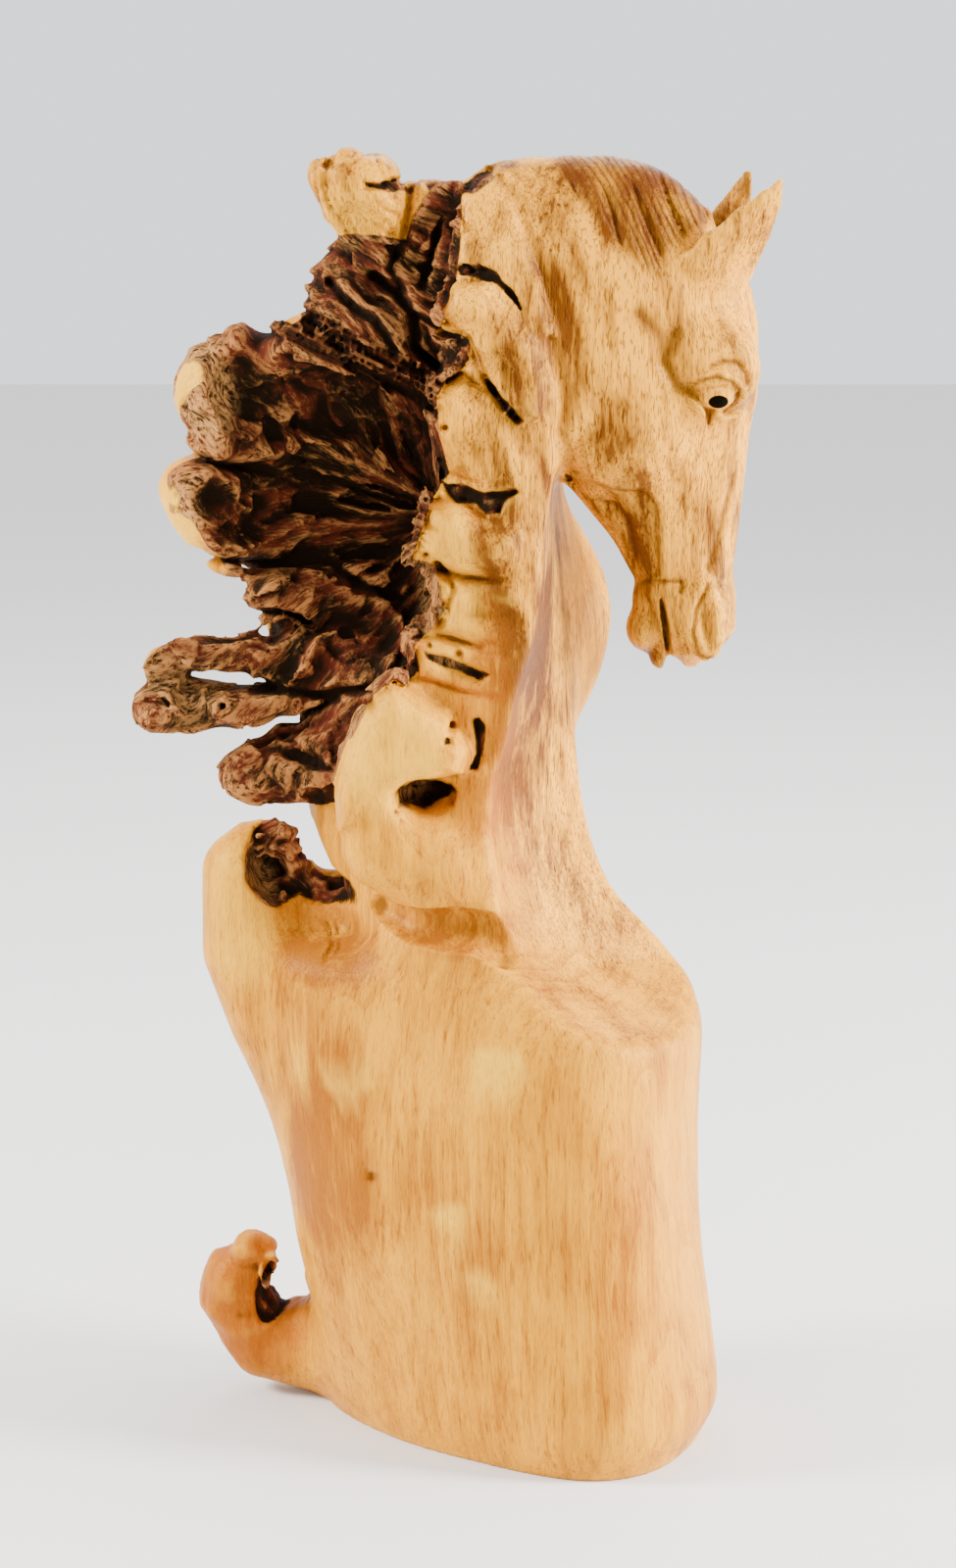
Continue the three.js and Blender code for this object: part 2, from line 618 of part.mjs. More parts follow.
makeTrunk();
makeTail();
makeSpur();
makeRoot();
makeFingers();
makeRootTop();
makeFarSide();
makeNeck();
makeArch();
makeRim();
makeLumps();
makeLoop();
makeBreast();
makeHead();
makeFace();
makeEars();

// How rough the root is at a point: 1 in its bowl, 0 on the smooth wood.
function roughness(x, y, z) {
  const dx = (x + 34 * UNIT) / (52 * UNIT);
  const dy = (y + 14 * UNIT) / (34 * UNIT);
  const dz = (z - 286 * UNIT) / (96 * UNIT);
  return 1 - THREE.MathUtils.smoothstep(dx * dx + dy * dy + dz * dz, 0.55, 1.15);
}

function field(x, y, z) {
  let d = Infinity;
  for (const { form, blend, cut: cutting } of steps) {
    const c = form.centre;
    const away = Math.hypot(x - c.x, y - c.y, z - c.z) - form.reach;
    if (cutting) {
      if (away > blend - d) continue;
      d = soften(d, -form.distance(x, y, z), -blend);
    } else {
      if (away > d + blend) continue;
      const near = form.distance(x, y, z);
      d = d === Infinity ? near : soften(d, near, blend);
    }
  }
  if (Math.abs(d) < 8 * UNIT) {
    d += maneDepth(x, z);
    const rough = roughness(x, y, z);
    if (rough > 0) d += rough * ROOT_ROUGHNESS * noise(x, y * 0.8, z * 1.6, 13 * UNIT, 1);
  }
  return d;
}

// Meshes the field's zero surface: one vertex in each cell that it crosses, and a quad over each crossed
// edge.
function surfaceNet(axes) {
  const [xs, ys, zs] = axes;
  const [nx, ny, nz] = axes.map((ticks) => ticks.length);
  const index = (i, j, k) => (k * ny + j) * nx + i;
  const values = new Float32Array(nx * ny * nz);
  const known = new Uint8Array(nx * ny * nz);
  const sample = (i, j, k) => {
    const n = index(i, j, k);
    if (!known[n]) {
      values[n] = field(xs[i], ys[j], zs[k]);
      known[n] = 1;
    }
    return values[n];
  };
  for (let k0 = 0; k0 < nz - 1; k0 += BLOCK) {
    for (let j0 = 0; j0 < ny - 1; j0 += BLOCK) {
      for (let i0 = 0; i0 < nx - 1; i0 += BLOCK) {
        const centre = sample(i0 + BLOCK / 2, j0 + BLOCK / 2, k0 + BLOCK / 2);
        const [dx, dy, dz] = [xs[i0 + BLOCK] - xs[i0], ys[j0 + BLOCK] - ys[j0], zs[k0 + BLOCK] - zs[k0]];
        const diagonal = Math.hypot(dx, dy, dz);
        const far = Math.abs(centre) > SLACK * diagonal;
        for (let k = k0; k <= k0 + BLOCK; k++) {
          for (let j = j0; j <= j0 + BLOCK; j++) {
            for (let i = i0; i <= i0 + BLOCK; i++) {
              if (!far) sample(i, j, k);
              else if (!known[index(i, j, k)]) values[index(i, j, k)] = centre;
            }
          }
        }
      }
    }
  }
  // A cell where the wood meets itself only across a corner or an edge would pinch the surface, so it is
  // filled.
  const corner = (i, j, k, c) => index(i + (c & 1), j + ((c >> 1) & 1), k + (c >> 2));
  const split = (mask) => {
    let reached = mask & -mask;
    for (let pass = 0; pass < 7; pass++) {
      for (let c = 0; c < 8; c++) {
        if (reached & (1 << c)) for (const step of [1, 2, 4]) reached |= mask & (1 << (c ^ step));
      }
    }
    return reached !== mask;
  };
  const whole = 255;
  const pinched = Array.from(
    { length: whole + 1 },
    (_, mask) => mask > 0 && mask < whole && (split(mask) || split(whole ^ mask)),
  );
  for (let filled = true; filled; ) {
    filled = false;
    for (let k = 0; k < nz - 1; k++) {
      for (let j = 0; j < ny - 1; j++) {
        for (let i = 0; i < nx - 1; i++) {
          let mask = 0;
          for (let c = 0; c < 8; c++) if (values[corner(i, j, k, c)] < 0) mask |= 1 << c;
          if (!pinched[mask]) continue;
          let nearest = -1;
          for (let c = 0; c < 8; c++) {
            const n = corner(i, j, k, c);
            if (values[n] >= 0 && (nearest < 0 || values[n] < values[nearest])) nearest = n;
          }
          values[nearest] = -FILL;
          filled = true;
        }
      }
    }
  }
  const positions = [];
  const vertexOf = new Int32Array(nx * ny * nz).fill(-1);
  for (let k = 0; k < nz - 1; k++) {
    for (let j = 0; j < ny - 1; j++) {
      for (let i = 0; i < nx - 1; i++) {
        let inside = 0;
        for (let c = 0; c < 8; c++) if (values[corner(i, j, k, c)] < 0) inside++;
        if (inside === 0 || inside === 8) continue;
        const sum = [0, 0, 0];
        let count = 0;
        for (let c = 0; c < 8; c++) {
          for (let axis = 0; axis < 3; axis++) {
            if (c & (1 << axis)) continue;
            const from = [c & 1, (c >> 1) & 1, c >> 2];
            const to = [...from];
            to[axis] = 1;
            const a = values[index(i + from[0], j + from[1], k + from[2])];
            const b = values[index(i + to[0], j + to[1], k + to[2])];
            if (a < 0 === b < 0) continue;
            from[axis] = a / (a - b);
            for (let n = 0; n < 3; n++) sum[n] += from[n];
            count++;
          }
        }
        vertexOf[index(i, j, k)] = positions.length / 3;
        positions.push(
          xs[i] + (sum[0] / count) * (xs[i + 1] - xs[i]),
          ys[j] + (sum[1] / count) * (ys[j + 1] - ys[j]),
          zs[k] + (sum[2] / count) * (zs[k + 1] - zs[k]),
        );
      }
    }
  }
  const triangles = [];
  const quad = (a, b, c, d, flip) => {
    if (flip) triangles.push(a, c, b, a, d, c);
    else triangles.push(a, b, c, a, c, d);
  };
  for (let k = 1; k < nz - 1; k++) {
    for (let j = 1; j < ny - 1; j++) {
      for (let i = 1; i < nx - 1; i++) {
        const here = values[index(i, j, k)] < 0;
        const v = (di, dj, dk) => vertexOf[index(i + di, j + dj, k + dk)];
        const crosses = (di, dj, dk) => here !== values[index(i + di, j + dj, k + dk)] < 0;
        if (crosses(1, 0, 0)) quad(v(0, -1, -1), v(0, 0, -1), v(0, 0, 0), v(0, -1, 0), !here);
        if (crosses(0, 1, 0)) quad(v(-1, 0, -1), v(-1, 0, 0), v(0, 0, 0), v(0, 0, -1), !here);
        if (crosses(0, 0, 1)) quad(v(-1, -1, 0), v(0, -1, 0), v(0, 0, 0), v(-1, 0, 0), !here);
      }
    }
  }
  return { positions: Float64Array.from(positions), triangles: Int32Array.from(triangles) };
}

// How much a place matters when faces are shared out: most at the face and ears, least in the rough bowl.
function importance(x, y, z) {
  const { smoothstep } = THREE.MathUtils;
  const head = smoothstep(x, 50 * UNIT, 60 * UNIT) * smoothstep(z, 236 * UNIT, 244 * UNIT);
  const eye = Math.abs(x - 80 * UNIT) < 10 * UNIT && Math.abs(z - 326 * UNIT) < 8 * UNIT ? 1 : 0;
  return 1 + 4 * head + 8 * eye * head - 0.55 * roughness(x, y, z);
}

// Thins a closed mesh by merging the two ends of an edge, cheapest first, where the cost is how far the
// surface moves. A merge that would fold a face over, or pinch the surface, is left out.
function thin({ positions, triangles }, wanted) {
  const vertices = positions.length / 3;
  const faces = triangles.length / 3;
  const quadric = new Float64Array(vertices * 10);
  const around = Array.from({ length: vertices }, () => []);
  const point = (v) => [positions[3 * v], positions[3 * v + 1], positions[3 * v + 2]];
  const cross = (a, b, c) => {
    const u = [b[0] - a[0], b[1] - a[1], b[2] - a[2]];
    const v = [c[0] - a[0], c[1] - a[1], c[2] - a[2]];
    return [u[1] * v[2] - u[2] * v[1], u[2] * v[0] - u[0] * v[2], u[0] * v[1] - u[1] * v[0]];
  };
  for (let f = 0; f < faces; f++) {
    const corners = [triangles[3 * f], triangles[3 * f + 1], triangles[3 * f + 2]];
    const [a, b, c] = corners.map(point);
    const n = cross(a, b, c);
    const length = Math.hypot(...n) || 1;
    const [x, y, z] = n.map((v) => v / length);
    const w = -(x * a[0] + y * a[1] + z * a[2]);
    const [mx, my, mz] = [0, 1, 2].map((i) => (a[i] + b[i] + c[i]) / 3);
    const area = (length / 2) * importance(mx, my, mz);
    const terms = [x * x, x * y, x * z, x * w, y * y, y * z, y * w, z * z, z * w, w * w];
    for (const v of corners) {
      around[v].push(f);
      for (let t = 0; t < 10; t++) quadric[10 * v + t] += terms[t] * area;
    }
  }
  const plan = (a, b) => {
    const q = new Float64Array(10);
    for (let t = 0; t < 10; t++) q[t] = quadric[10 * a + t] + quadric[10 * b + t];
    const [ax, ay, az] = point(a);
    const [bx, by, bz] = point(b);
    const middle = [(ax + bx) / 2, (ay + by) / 2, (az + bz) / 2];
    const pull = SLIVER * (q[0] + q[4] + q[7]);
    const m = [q[0] + pull, q[1], q[2], q[4] + pull, q[5], q[7] + pull];
    const r = [-q[3] + pull * middle[0], -q[6] + pull * middle[1], -q[8] + pull * middle[2]];
    const c0 = m[3] * m[5] - m[4] * m[4];
    const c1 = m[2] * m[4] - m[1] * m[5];
    const c2 = m[1] * m[4] - m[2] * m[3];
    const det = m[0] * c0 + m[1] * c1 + m[2] * c2;
    let p = middle;
    if (Math.abs(det) > 1e-12) {
      const c4 = m[0] * m[5] - m[2] * m[2];
      const c5 = m[1] * m[2] - m[0] * m[4];
      const c8 = m[0] * m[3] - m[1] * m[1];
      const found = [
        (c0 * r[0] + c1 * r[1] + c2 * r[2]) / det,
        (c1 * r[0] + c4 * r[1] + c5 * r[2]) / det,
        (c2 * r[0] + c5 * r[1] + c8 * r[2]) / det,
      ];
      const edge = Math.hypot(ax - bx, ay - by, az - bz);
      const moved = Math.hypot(found[0] - middle[0], found[1] - middle[1], found[2] - middle[2]);
      if (moved < 2 * edge) p = found;
    }
    const [x, y, z] = p;
    const cost =
      q[0] * x * x + 2 * q[1] * x * y + 2 * q[2] * x * z + 2 * q[3] * x + q[4] * y * y +
      2 * q[5] * y * z + 2 * q[6] * y + q[7] * z * z + 2 * q[8] * z + q[9];
    const edge2 = (ax - bx) ** 2 + (ay - by) ** 2 + (az - bz) ** 2;
    return { cost: Math.max(cost, 0) + EVENNESS * edge2 * edge2, p };
  };
  const stamp = new Int32Array(vertices);
  const alive = new Uint8Array(vertices).fill(1);
  const heap = [];
  const push = (item) => {
    heap.push(item);
    let i = heap.length - 1;
    while (i > 0) {
      const parent = (i - 1) >> 1;
      if (heap[parent].cost <= heap[i].cost) break;
      [heap[parent], heap[i]] = [heap[i], heap[parent]];
      i = parent;
    }
  };
  const pop = () => {
    const first = heap[0];
    const last = heap.pop();
    if (heap.length) {
      heap[0] = last;
      let i = 0;
      for (;;) {
        let small = i;
        for (const child of [2 * i + 1, 2 * i + 2]) {
          if (child < heap.length && heap[child].cost < heap[small].cost) small = child;
        }
        if (small === i) break;
        [heap[small], heap[i]] = [heap[i], heap[small]];
        i = small;
      }
    }
    return first;
  };
  const neighbours = (v) => {
    const found = new Set();
    for (const f of around[v]) for (let c = 0; c < 3; c++) found.add(triangles[3 * f + c]);
    found.delete(v);
    return found;
  };
  const offer = (a, b) => push({ ...plan(a, b), a, b, stamp: stamp[a] + stamp[b] });
  for (let f = 0; f < faces; f++) {
    for (let c = 0; c < 3; c++) {
      const a = triangles[3 * f + c];
      const b = triangles[3 * f + ((c + 1) % 3)];
      if (a < b) offer(a, b);
    }
  }
  const folds = (v, other, p) => {
    for (const f of around[v]) {
      const corners = [triangles[3 * f], triangles[3 * f + 1], triangles[3 * f + 2]];
      if (corners.includes(other)) continue;
      const before = cross(...corners.map(point));
      const after = cross(...corners.map((c) => (c === v ? p : point(c))));
      const dot = before[0] * after[0] + before[1] * after[1] + before[2] * after[2];
      const size = Math.hypot(...before) * Math.hypot(...after);
      if (dot < FOLD * size || Math.hypot(...after) < SMALLEST_FACE) return true;
    }
    return false;
  };
  let left = faces;
  while (left > wanted && heap.length) {
    const { a, b, p, stamp: made } = pop();
    if (!alive[a] || !alive[b] || stamp[a] + stamp[b] !== made) continue;
    const na = neighbours(a);
    if (!na.has(b)) continue;
    const nb = neighbours(b);
    let shared = 0;
    for (const v of na) if (nb.has(v)) shared++;
    const tetrahedron = na.size === 3 && nb.size === 3;
    if (shared !== 2 || tetrahedron || folds(a, b, p) || folds(b, a, p)) continue;
    positions.set(p, 3 * a);
    for (let t = 0; t < 10; t++) quadric[10 * a + t] += quadric[10 * b + t];
    const kept = around[a].filter((f) => ![0, 1, 2].some((c) => triangles[3 * f + c] === b));
    for (const f of around[b]) {
      const corners = [triangles[3 * f], triangles[3 * f + 1], triangles[3 * f + 2]];
      if (corners.includes(a)) {
        left--;
        for (const v of corners) if (v !== a && v !== b) around[v] = around[v].filter((g) => g !== f);
        for (let c = 0; c < 3; c++) triangles[3 * f + c] = -1;
      } else {
        triangles[3 * f + corners.indexOf(b)] = a;
        kept.push(f);
      }
    }
    around[a] = kept;
    alive[b] = 0;
    stamp[a] += 1;
    for (const v of neighbours(a)) offer(a, v);
  }
  const fresh = new Map();
  const keptPositions = [];
  const keptTriangles = [];
  for (let f = 0; f < faces; f++) {
    if (triangles[3 * f] < 0) continue;
    for (let c = 0; c < 3; c++) {
      const v = triangles[3 * f + c];
      if (!fresh.has(v)) {
        fresh.set(v, keptPositions.length / 3);
        keptPositions.push(...point(v));
      }
      keptTriangles.push(fresh.get(v));
    }
  }
  return { positions: keptPositions, triangles: keptTriangles };
}

const wasm = await Module();
wasm.setup();

function solidFrom(positions, triangles) {
  return new wasm.Manifold(
    new wasm.Mesh({
      numProp: 3,
      vertProperties: Float32Array.from(positions),
      triVerts: Uint32Array.from(triangles),
    }),
  );
}

const sculpted = thin(surfaceNet([TICKS_X, TICKS_Y, TICKS_Z].map(ticks)), TRIANGLES);

// The saw cut under the trunk
const sawDepth = 40 * UNIT;
const ground = new THREE.BoxGeometry(HEIGHT, HEIGHT, sawDepth)
  .translate(0, 0, -sawDepth / 2)
  .toNonIndexed();
const corners = [];
const cornerIndex = new Map();
const groundTriangles = [];
const groundPositions = ground.getAttribute('position');
for (let i = 0; i < groundPositions.count; i++) {
  const p = [groundPositions.getX(i), groundPositions.getY(i), groundPositions.getZ(i)];
  const key = p.join();
  if (!cornerIndex.has(key)) {
    cornerIndex.set(key, corners.length / 3);
    corners.push(...p);
  }
  groundTriangles.push(cornerIndex.get(key));
}
const figure = solidFrom(sculpted.positions, sculpted.triangles);
const whole = figure.subtract(solidFrom(corners, groundTriangles));
const wood = whole.decompose().sort((a, b) => b.volume() - a.volume())[0];
const cutMesh = wood.getMesh();

const geometry = new THREE.BufferGeometry();
geometry.setAttribute('position', new THREE.BufferAttribute(Float32Array.from(cutMesh.vertProperties), 3));
geometry.setIndex([...cutMesh.triVerts]);
geometry.computeVertexNormals();

const carving = new THREE.Mesh(
  geometry,
  new THREE.MeshStandardMaterial({ color: 0xc98f52, roughness: 0.45, metalness: 0 }),
);
carving.name = 'horse_carving';

const figurine = new THREE.Group();
figurine.add(carving);

export default figurine;
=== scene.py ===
"""A horse carved from one piece of root wood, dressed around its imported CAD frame.

The carving is one closed surface. It is the zero surface of the same distance field that the CAD solid
has, in millimetres, with finer relief in it: torn fibre in the root's bowl, bark left in the clefts,
locks of the mane, the lines cut in the face. The field is worked out as whole arrays.
"""
import math

import bpy
import numpy as np
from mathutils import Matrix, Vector


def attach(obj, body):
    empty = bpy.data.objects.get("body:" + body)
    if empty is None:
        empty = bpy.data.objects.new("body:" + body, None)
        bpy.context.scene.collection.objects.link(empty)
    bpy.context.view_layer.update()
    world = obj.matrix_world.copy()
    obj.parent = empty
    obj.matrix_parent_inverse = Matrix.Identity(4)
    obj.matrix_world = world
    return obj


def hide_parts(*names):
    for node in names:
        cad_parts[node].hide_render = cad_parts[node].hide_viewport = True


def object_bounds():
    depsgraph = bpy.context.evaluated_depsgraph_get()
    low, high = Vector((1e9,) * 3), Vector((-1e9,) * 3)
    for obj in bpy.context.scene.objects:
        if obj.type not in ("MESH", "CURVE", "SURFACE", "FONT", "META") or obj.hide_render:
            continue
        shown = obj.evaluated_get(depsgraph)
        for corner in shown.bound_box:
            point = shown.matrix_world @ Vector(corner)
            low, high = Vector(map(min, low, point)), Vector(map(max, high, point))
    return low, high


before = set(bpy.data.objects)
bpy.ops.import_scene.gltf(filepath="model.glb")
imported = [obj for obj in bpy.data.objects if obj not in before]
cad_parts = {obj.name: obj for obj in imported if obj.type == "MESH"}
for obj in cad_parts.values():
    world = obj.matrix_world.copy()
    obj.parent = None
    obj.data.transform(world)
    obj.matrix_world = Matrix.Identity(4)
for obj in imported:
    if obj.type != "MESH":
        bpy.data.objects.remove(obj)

bl_info = {
    "name": "Carved root wood horse",
    "version": (1, 0, 0),
    "blender": (4, 5, 0),
    "location": "View3D > Sidebar > Horse",
    "description": "Builds the carved horse, its wood and its studio around the CAD frame",
    "category": "Object",
}

NODE = "horse_carving"
CAD_LOW, CAD_HIGH = [np.array(corner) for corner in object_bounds()]
MM = 0.001
DRAWN_HEIGHT = 400.0  # the forms below are drawn for a figure this tall, in millimetres
HEAD_MIDDLE = -1.0  # the head's middle plane
TRUNK_TOP = 160  # the mesh is coarser below this height
RELIEF_REACH = 8  # the finer carving changes the field this close to the surface
BLOCK = 4  # cells to a block, where the grid looks for the surface


# Numbers and curves

def soften(a, b, k):
    """The smaller of a and b with a blend of width k, or the larger of them where k is negative."""
    w = abs(k)
    h = np.maximum(w - np.abs(a - b), 0.0)
    bend = h * h / (4 * w) if w > 0 else 0.0
    return np.maximum(a, b) + bend if k < 0 else np.minimum(a, b) - bend


def smoothstep(t, low, high):
    """0 below low, 1 above high, and 3s^2 - 2s^3 between them."""
    s = np.clip((t - low) / (high - low), 0.0, 1.0)
    return s * s * (3 - 2 * s)


def curve(rows):
    """Rows of [position, value...] joined by cubics, whose slope at a row is the harmonic mean of its
    neighbours' slopes, or 0 at a turn and at the ends, so that nothing overshoots."""
    rows = np.array(rows, float)
    at, values = rows[:, 0], rows[:, 1:]
    steps = np.diff(values, axis=0) / np.diff(at)[:, None]
    slopes = np.zeros_like(values)
    before, after = steps[:-1], steps[1:]
    same = before * after > 0
    total = np.where(same, before + after, 1.0)
    slopes[1:-1] = np.where(same, 2 * before * after / total, 0.0)

    def value(t):
        i = np.clip(np.searchsorted(at, t) - 1, 0, len(at) - 2)
        span = at[i + 1] - at[i]
        s = np.clip((t - at[i]) / span, 0.0, 1.0)[:, None]
        s2, s3 = s * s, s * s * s
        return (values[i] * (2 * s3 - 3 * s2 + 1) + values[i + 1] * (3 * s2 - 2 * s3)
                + span[:, None] * (slopes[i] * (s3 - 2 * s2 + s) + slopes[i + 1] * (s3 - s2)))
    return value


def noise(x, y, z, seed, size=1.0):
    """Repeatable noise from -1 to 1: one random value at each point of a grid, size apart, eased between."""
    px, py, pz = x / size + seed * 17.3, y / size + seed * 9.1, z / size + seed * 5.7
    ix, iy, iz = np.floor(px), np.floor(py), np.floor(pz)
    fx, fy, fz = px - ix, py - iy, pz - iz
    fx, fy, fz = (f * f * (3 - 2 * f) for f in (fx, fy, fz))
    kx, ky, kz = ([(i.astype(np.int64) + step).astype(np.uint32) * np.uint32(prime) for step in (0, 1)]
                  for i, prime in ((ix, 374761393), (iy, 668265263), (iz, 1274126177)))

    def corner(i, j, k):
        h = kx[i] ^ ky[j] ^ kz[k]
        h = (h ^ (h >> np.uint32(13))) * np.uint32(1103515245)
        return (h ^ (h >> np.uint32(16))).astype(np.float64) / 2147483648.0 - 1.0

    def level(k):
        near = corner(0, 0, k) * (1 - fx) + corner(1, 0, k) * fx
        far = corner(0, 1, k) * (1 - fx) + corner(1, 1, k) * fx
        return near * (1 - fy) + far * fy
    return level(0) * (1 - fz) + level(1) * fz


# Forms. Each is (centre, reach, distance), where distance(x, y, z) is below zero inside the form.

def limb(points, thin=None, flat=1.0):
    """Round-ended cones through [x, y, z, radius], joined end to end. flat thins them along thin."""
    p = np.array(points, float)
    low, high = p[:, :3].min(axis=0), p[:, :3].max(axis=0)
    reach = np.linalg.norm(high - low) / 2 + p[:, 3].max()

    def distance(x, y, z):
        best = np.full(x.shape, np.inf)
        for a, b in zip(p[:-1], p[1:]):
            u = b - a
            px, py, pz = x - a[0], y - a[1], z - a[2]
            t = np.clip((px * u[0] + py * u[1] + pz * u[2]) / (u[:3] @ u[:3]), 0.0, 1.0)
            dx, dy, dz = px - t * u[0], py - t * u[1], pz - t * u[2]
            square = dx * dx + dy * dy + dz * dz
            ease = 1.0
            if thin is not None:
                across = dx * thin[0] + dy * thin[1] + dz * thin[2]
                wide = square
                square = square + (flat * flat - 1) * across * across
                ease = np.maximum(np.sqrt(wide / np.maximum(square, 1e-12)), 1 / flat)
            best = np.minimum(best, (np.sqrt(square) - (a[3] + u[3] * t)) * ease)
        return best
    return (low + high) / 2, reach, distance


def egg(centre, half, turn=0.0):
    """The ellipsoid u^2 + v^2 + w^2 = 1 with half sizes half, turned by degrees about the Y axis."""
    cx, cy, cz = centre
    a, b, c = half
    cos, sin = math.cos(math.radians(turn)), math.sin(math.radians(turn))

    def distance(x, y, z):
        u = (cos * (x - cx) - sin * (z - cz)) / a
        v = (y - cy) / b
        w = (sin * (x - cx) + cos * (z - cz)) / c
        k0 = np.sqrt(u * u + v * v + w * w)
        k1 = np.sqrt((u / a) ** 2 + (v / b) ** 2 + (w / c) ** 2)
        return k0 * (k0 - 1) / np.maximum(k1, 1e-9)
    return np.array(centre, float), max(half), distance


def upright(rows, foot, top, turn=0.0, ease=4.0):
    """A column whose level sections are rounded boxes, |u|^n + |v|^n = 1. Each row is
    [height, back x, front x, near y, far y, squareness n, taper of the front]."""
    section = curve(rows)
    widest = 1.5 * np.abs(np.array(rows, float)[:, 1:5]).max()
    cos, sin = math.cos(math.radians(turn)), math.sin(math.radians(turn))

    def distance(x, y, z):
        back, front, near, far, n, taper = section(np.clip(z, foot, top)).T
        px = x * cos + y * sin - (back + front) / 2
        py = -x * sin + y * cos - (near + far) / 2
        a = (front - back) / 2
        u = np.abs(px / a)
        b = (far - near) / 2 * (1 - taper * np.clip(px / a, -1.0, 1.0))
        v = np.abs(py / b)
        gu, gv = u ** (n - 1), v ** (n - 1)
        q = np.maximum(gu * u + gv * v, 1e-12) ** (1 / n)
        slope = np.hypot(gu / a, gv / b) / np.maximum(q, 1e-6) ** (n - 1)
        slope = np.where(q > 1e-6, slope, 1 / np.minimum(a, b))
        return soften((q - 1) / slope, np.maximum(z - top, foot - z), -ease)
    return np.array([0, 0, (foot + top) / 2]), math.hypot(widest, (top - foot) / 2), distance


def hollow(rows):
    """The space in front of an upright wall whose plan is an arc of small sag. Each row is
    [height, x and y of the wall's left edge, x and y of its right edge, sag]."""
    wall = curve(rows)
    low, high = rows[0][0], rows[-1][0]

    def plan(x, y, z):
        x1, y1, x2, y2, sag = wall(np.clip(z, low, high)).T
        chord = np.hypot(x2 - x1, y2 - y1)
        radius = chord * chord / (8 * sag) + sag / 2
        cx = (x1 + x2) / 2 + (y2 - y1) / chord * (radius - sag)
        cy = (y1 + y2) / 2 - (x2 - x1) / chord * (radius - sag)
        return np.hypot(x - cx, y - cy) - radius

    def distance(x, y, z):
        d = plan(x, y, z)
        slope = plan(x, y, z + 1.0) - d
        return np.maximum(d / np.hypot(1.0, slope), np.maximum(low - z, z - high))
    return np.array([0, 0, (low + high) / 2]), high - low, distance


def segment_square(x, z, a, b):
    """Square of the distance in the side view to the segment from a to b."""
    px, pz, ux, uz = x - a[0], z - a[1], b[0] - a[0], b[1] - a[1]
    t = np.clip((px * ux + pz * uz) / (ux * ux + uz * uz), 0.0, 1.0)
    return (px - t * ux) ** 2 + (pz - t * uz) ** 2


def line_distance(x, z, points):
    """Distance in the side view to a line through points."""
    return np.sqrt(np.minimum.reduce([segment_square(x, z, a, b) for a, b in zip(points, points[1:])]))


def outline_depth(x, z, points):
    """How far inside a closed outline each point lies in the side view, negative outside: the distance to
    the nearest edge, with its sign from the number of edges crossed by a level ray."""
    inside = np.zeros(x.shape, bool)
    closed = points + points[:1]
    for (ax, az), (bx, bz) in zip(closed, closed[1:]):
        if az != bz:
            inside ^= ((az > z) != (bz > z)) & (x < ax + (z - az) * (bx - ax) / (bz - az))
    return np.where(inside, 1.0, -1.0) * line_distance(x, z, closed)


def slab(points, near, far, ease, lean=0.0):
    """A plate seen from the side as the outline points (x, z), from near y to far y, its edges rounded.
    Its sides lean back by lean for each millimetre above its middle."""
    p = np.array(points, float)
    low, high = p.min(axis=0), p.max(axis=0)
    centre = np.array([(low[0] + high[0]) / 2, (near + far) / 2, (low[1] + high[1]) / 2])
    reach = math.hypot(np.linalg.norm(high - low), far - near) / 2

    def distance(x, y, z):
        across = np.abs(y - centre[1] - lean * (z - centre[2])) - (far - near) / 2
        return soften(-outline_depth(x, z, points), across, -ease)
    return centre, reach, distance


class Sculpture:
    """Forms added and cut in order, each with a blend."""

    def __init__(self):
        self.steps = []

    def add(self, form, blend):
        self.steps.append((form, blend, False))

    def cut(self, form, blend):
        self.steps.append((form, blend, True))

    def distance(self, x, y, z):
        """Distance to the surface at whole arrays of points, below zero inside the wood."""
        d = np.full(x.shape, np.inf)
        for (centre, reach, form), blend, cutting in self.steps:
            away = np.sqrt((x - centre[0]) ** 2 + (y - centre[1]) ** 2 + (z - centre[2]) ** 2) - reach
            near = np.nonzero(away <= (blend - d if cutting else d + blend))[0]
            if len(near) == 0:
                continue
            found = form(x[near], y[near], z[near])
            d[near] = soften(d[near], -found, -blend) if cutting else soften(d[near], found, blend)
        return d


# Outlines in the side view, as points (x, z). The rim is the sanded part of the near side: its left edge
# overhangs the bowl, and the right one sweeps down from the crest to the breast.
RIM_TOP = [
    (11, 394), (4, 387), (3, 371), (2, 361), (-1, 352), (-4, 346), (31, 346), (29.5, 352), (27, 363),
    (23.5, 375), (18.5, 386), (13, 393.5),
]
RIM_OUTLINE = [
    (2, 361), (-1, 352), (5, 346), (8, 339), (-1, 333), (-4, 328), (-3, 316),
    (0, 304), (-6, 296), (-11, 280), (-4, 277.5), (-1.5, 263), (-8, 257), (-11, 254), (-9, 246),
    (-16, 240), (-20, 214), (-20, 180), (30, 180), (30, 250), (31.5, 313), (31.5, 330), (27, 362),
]
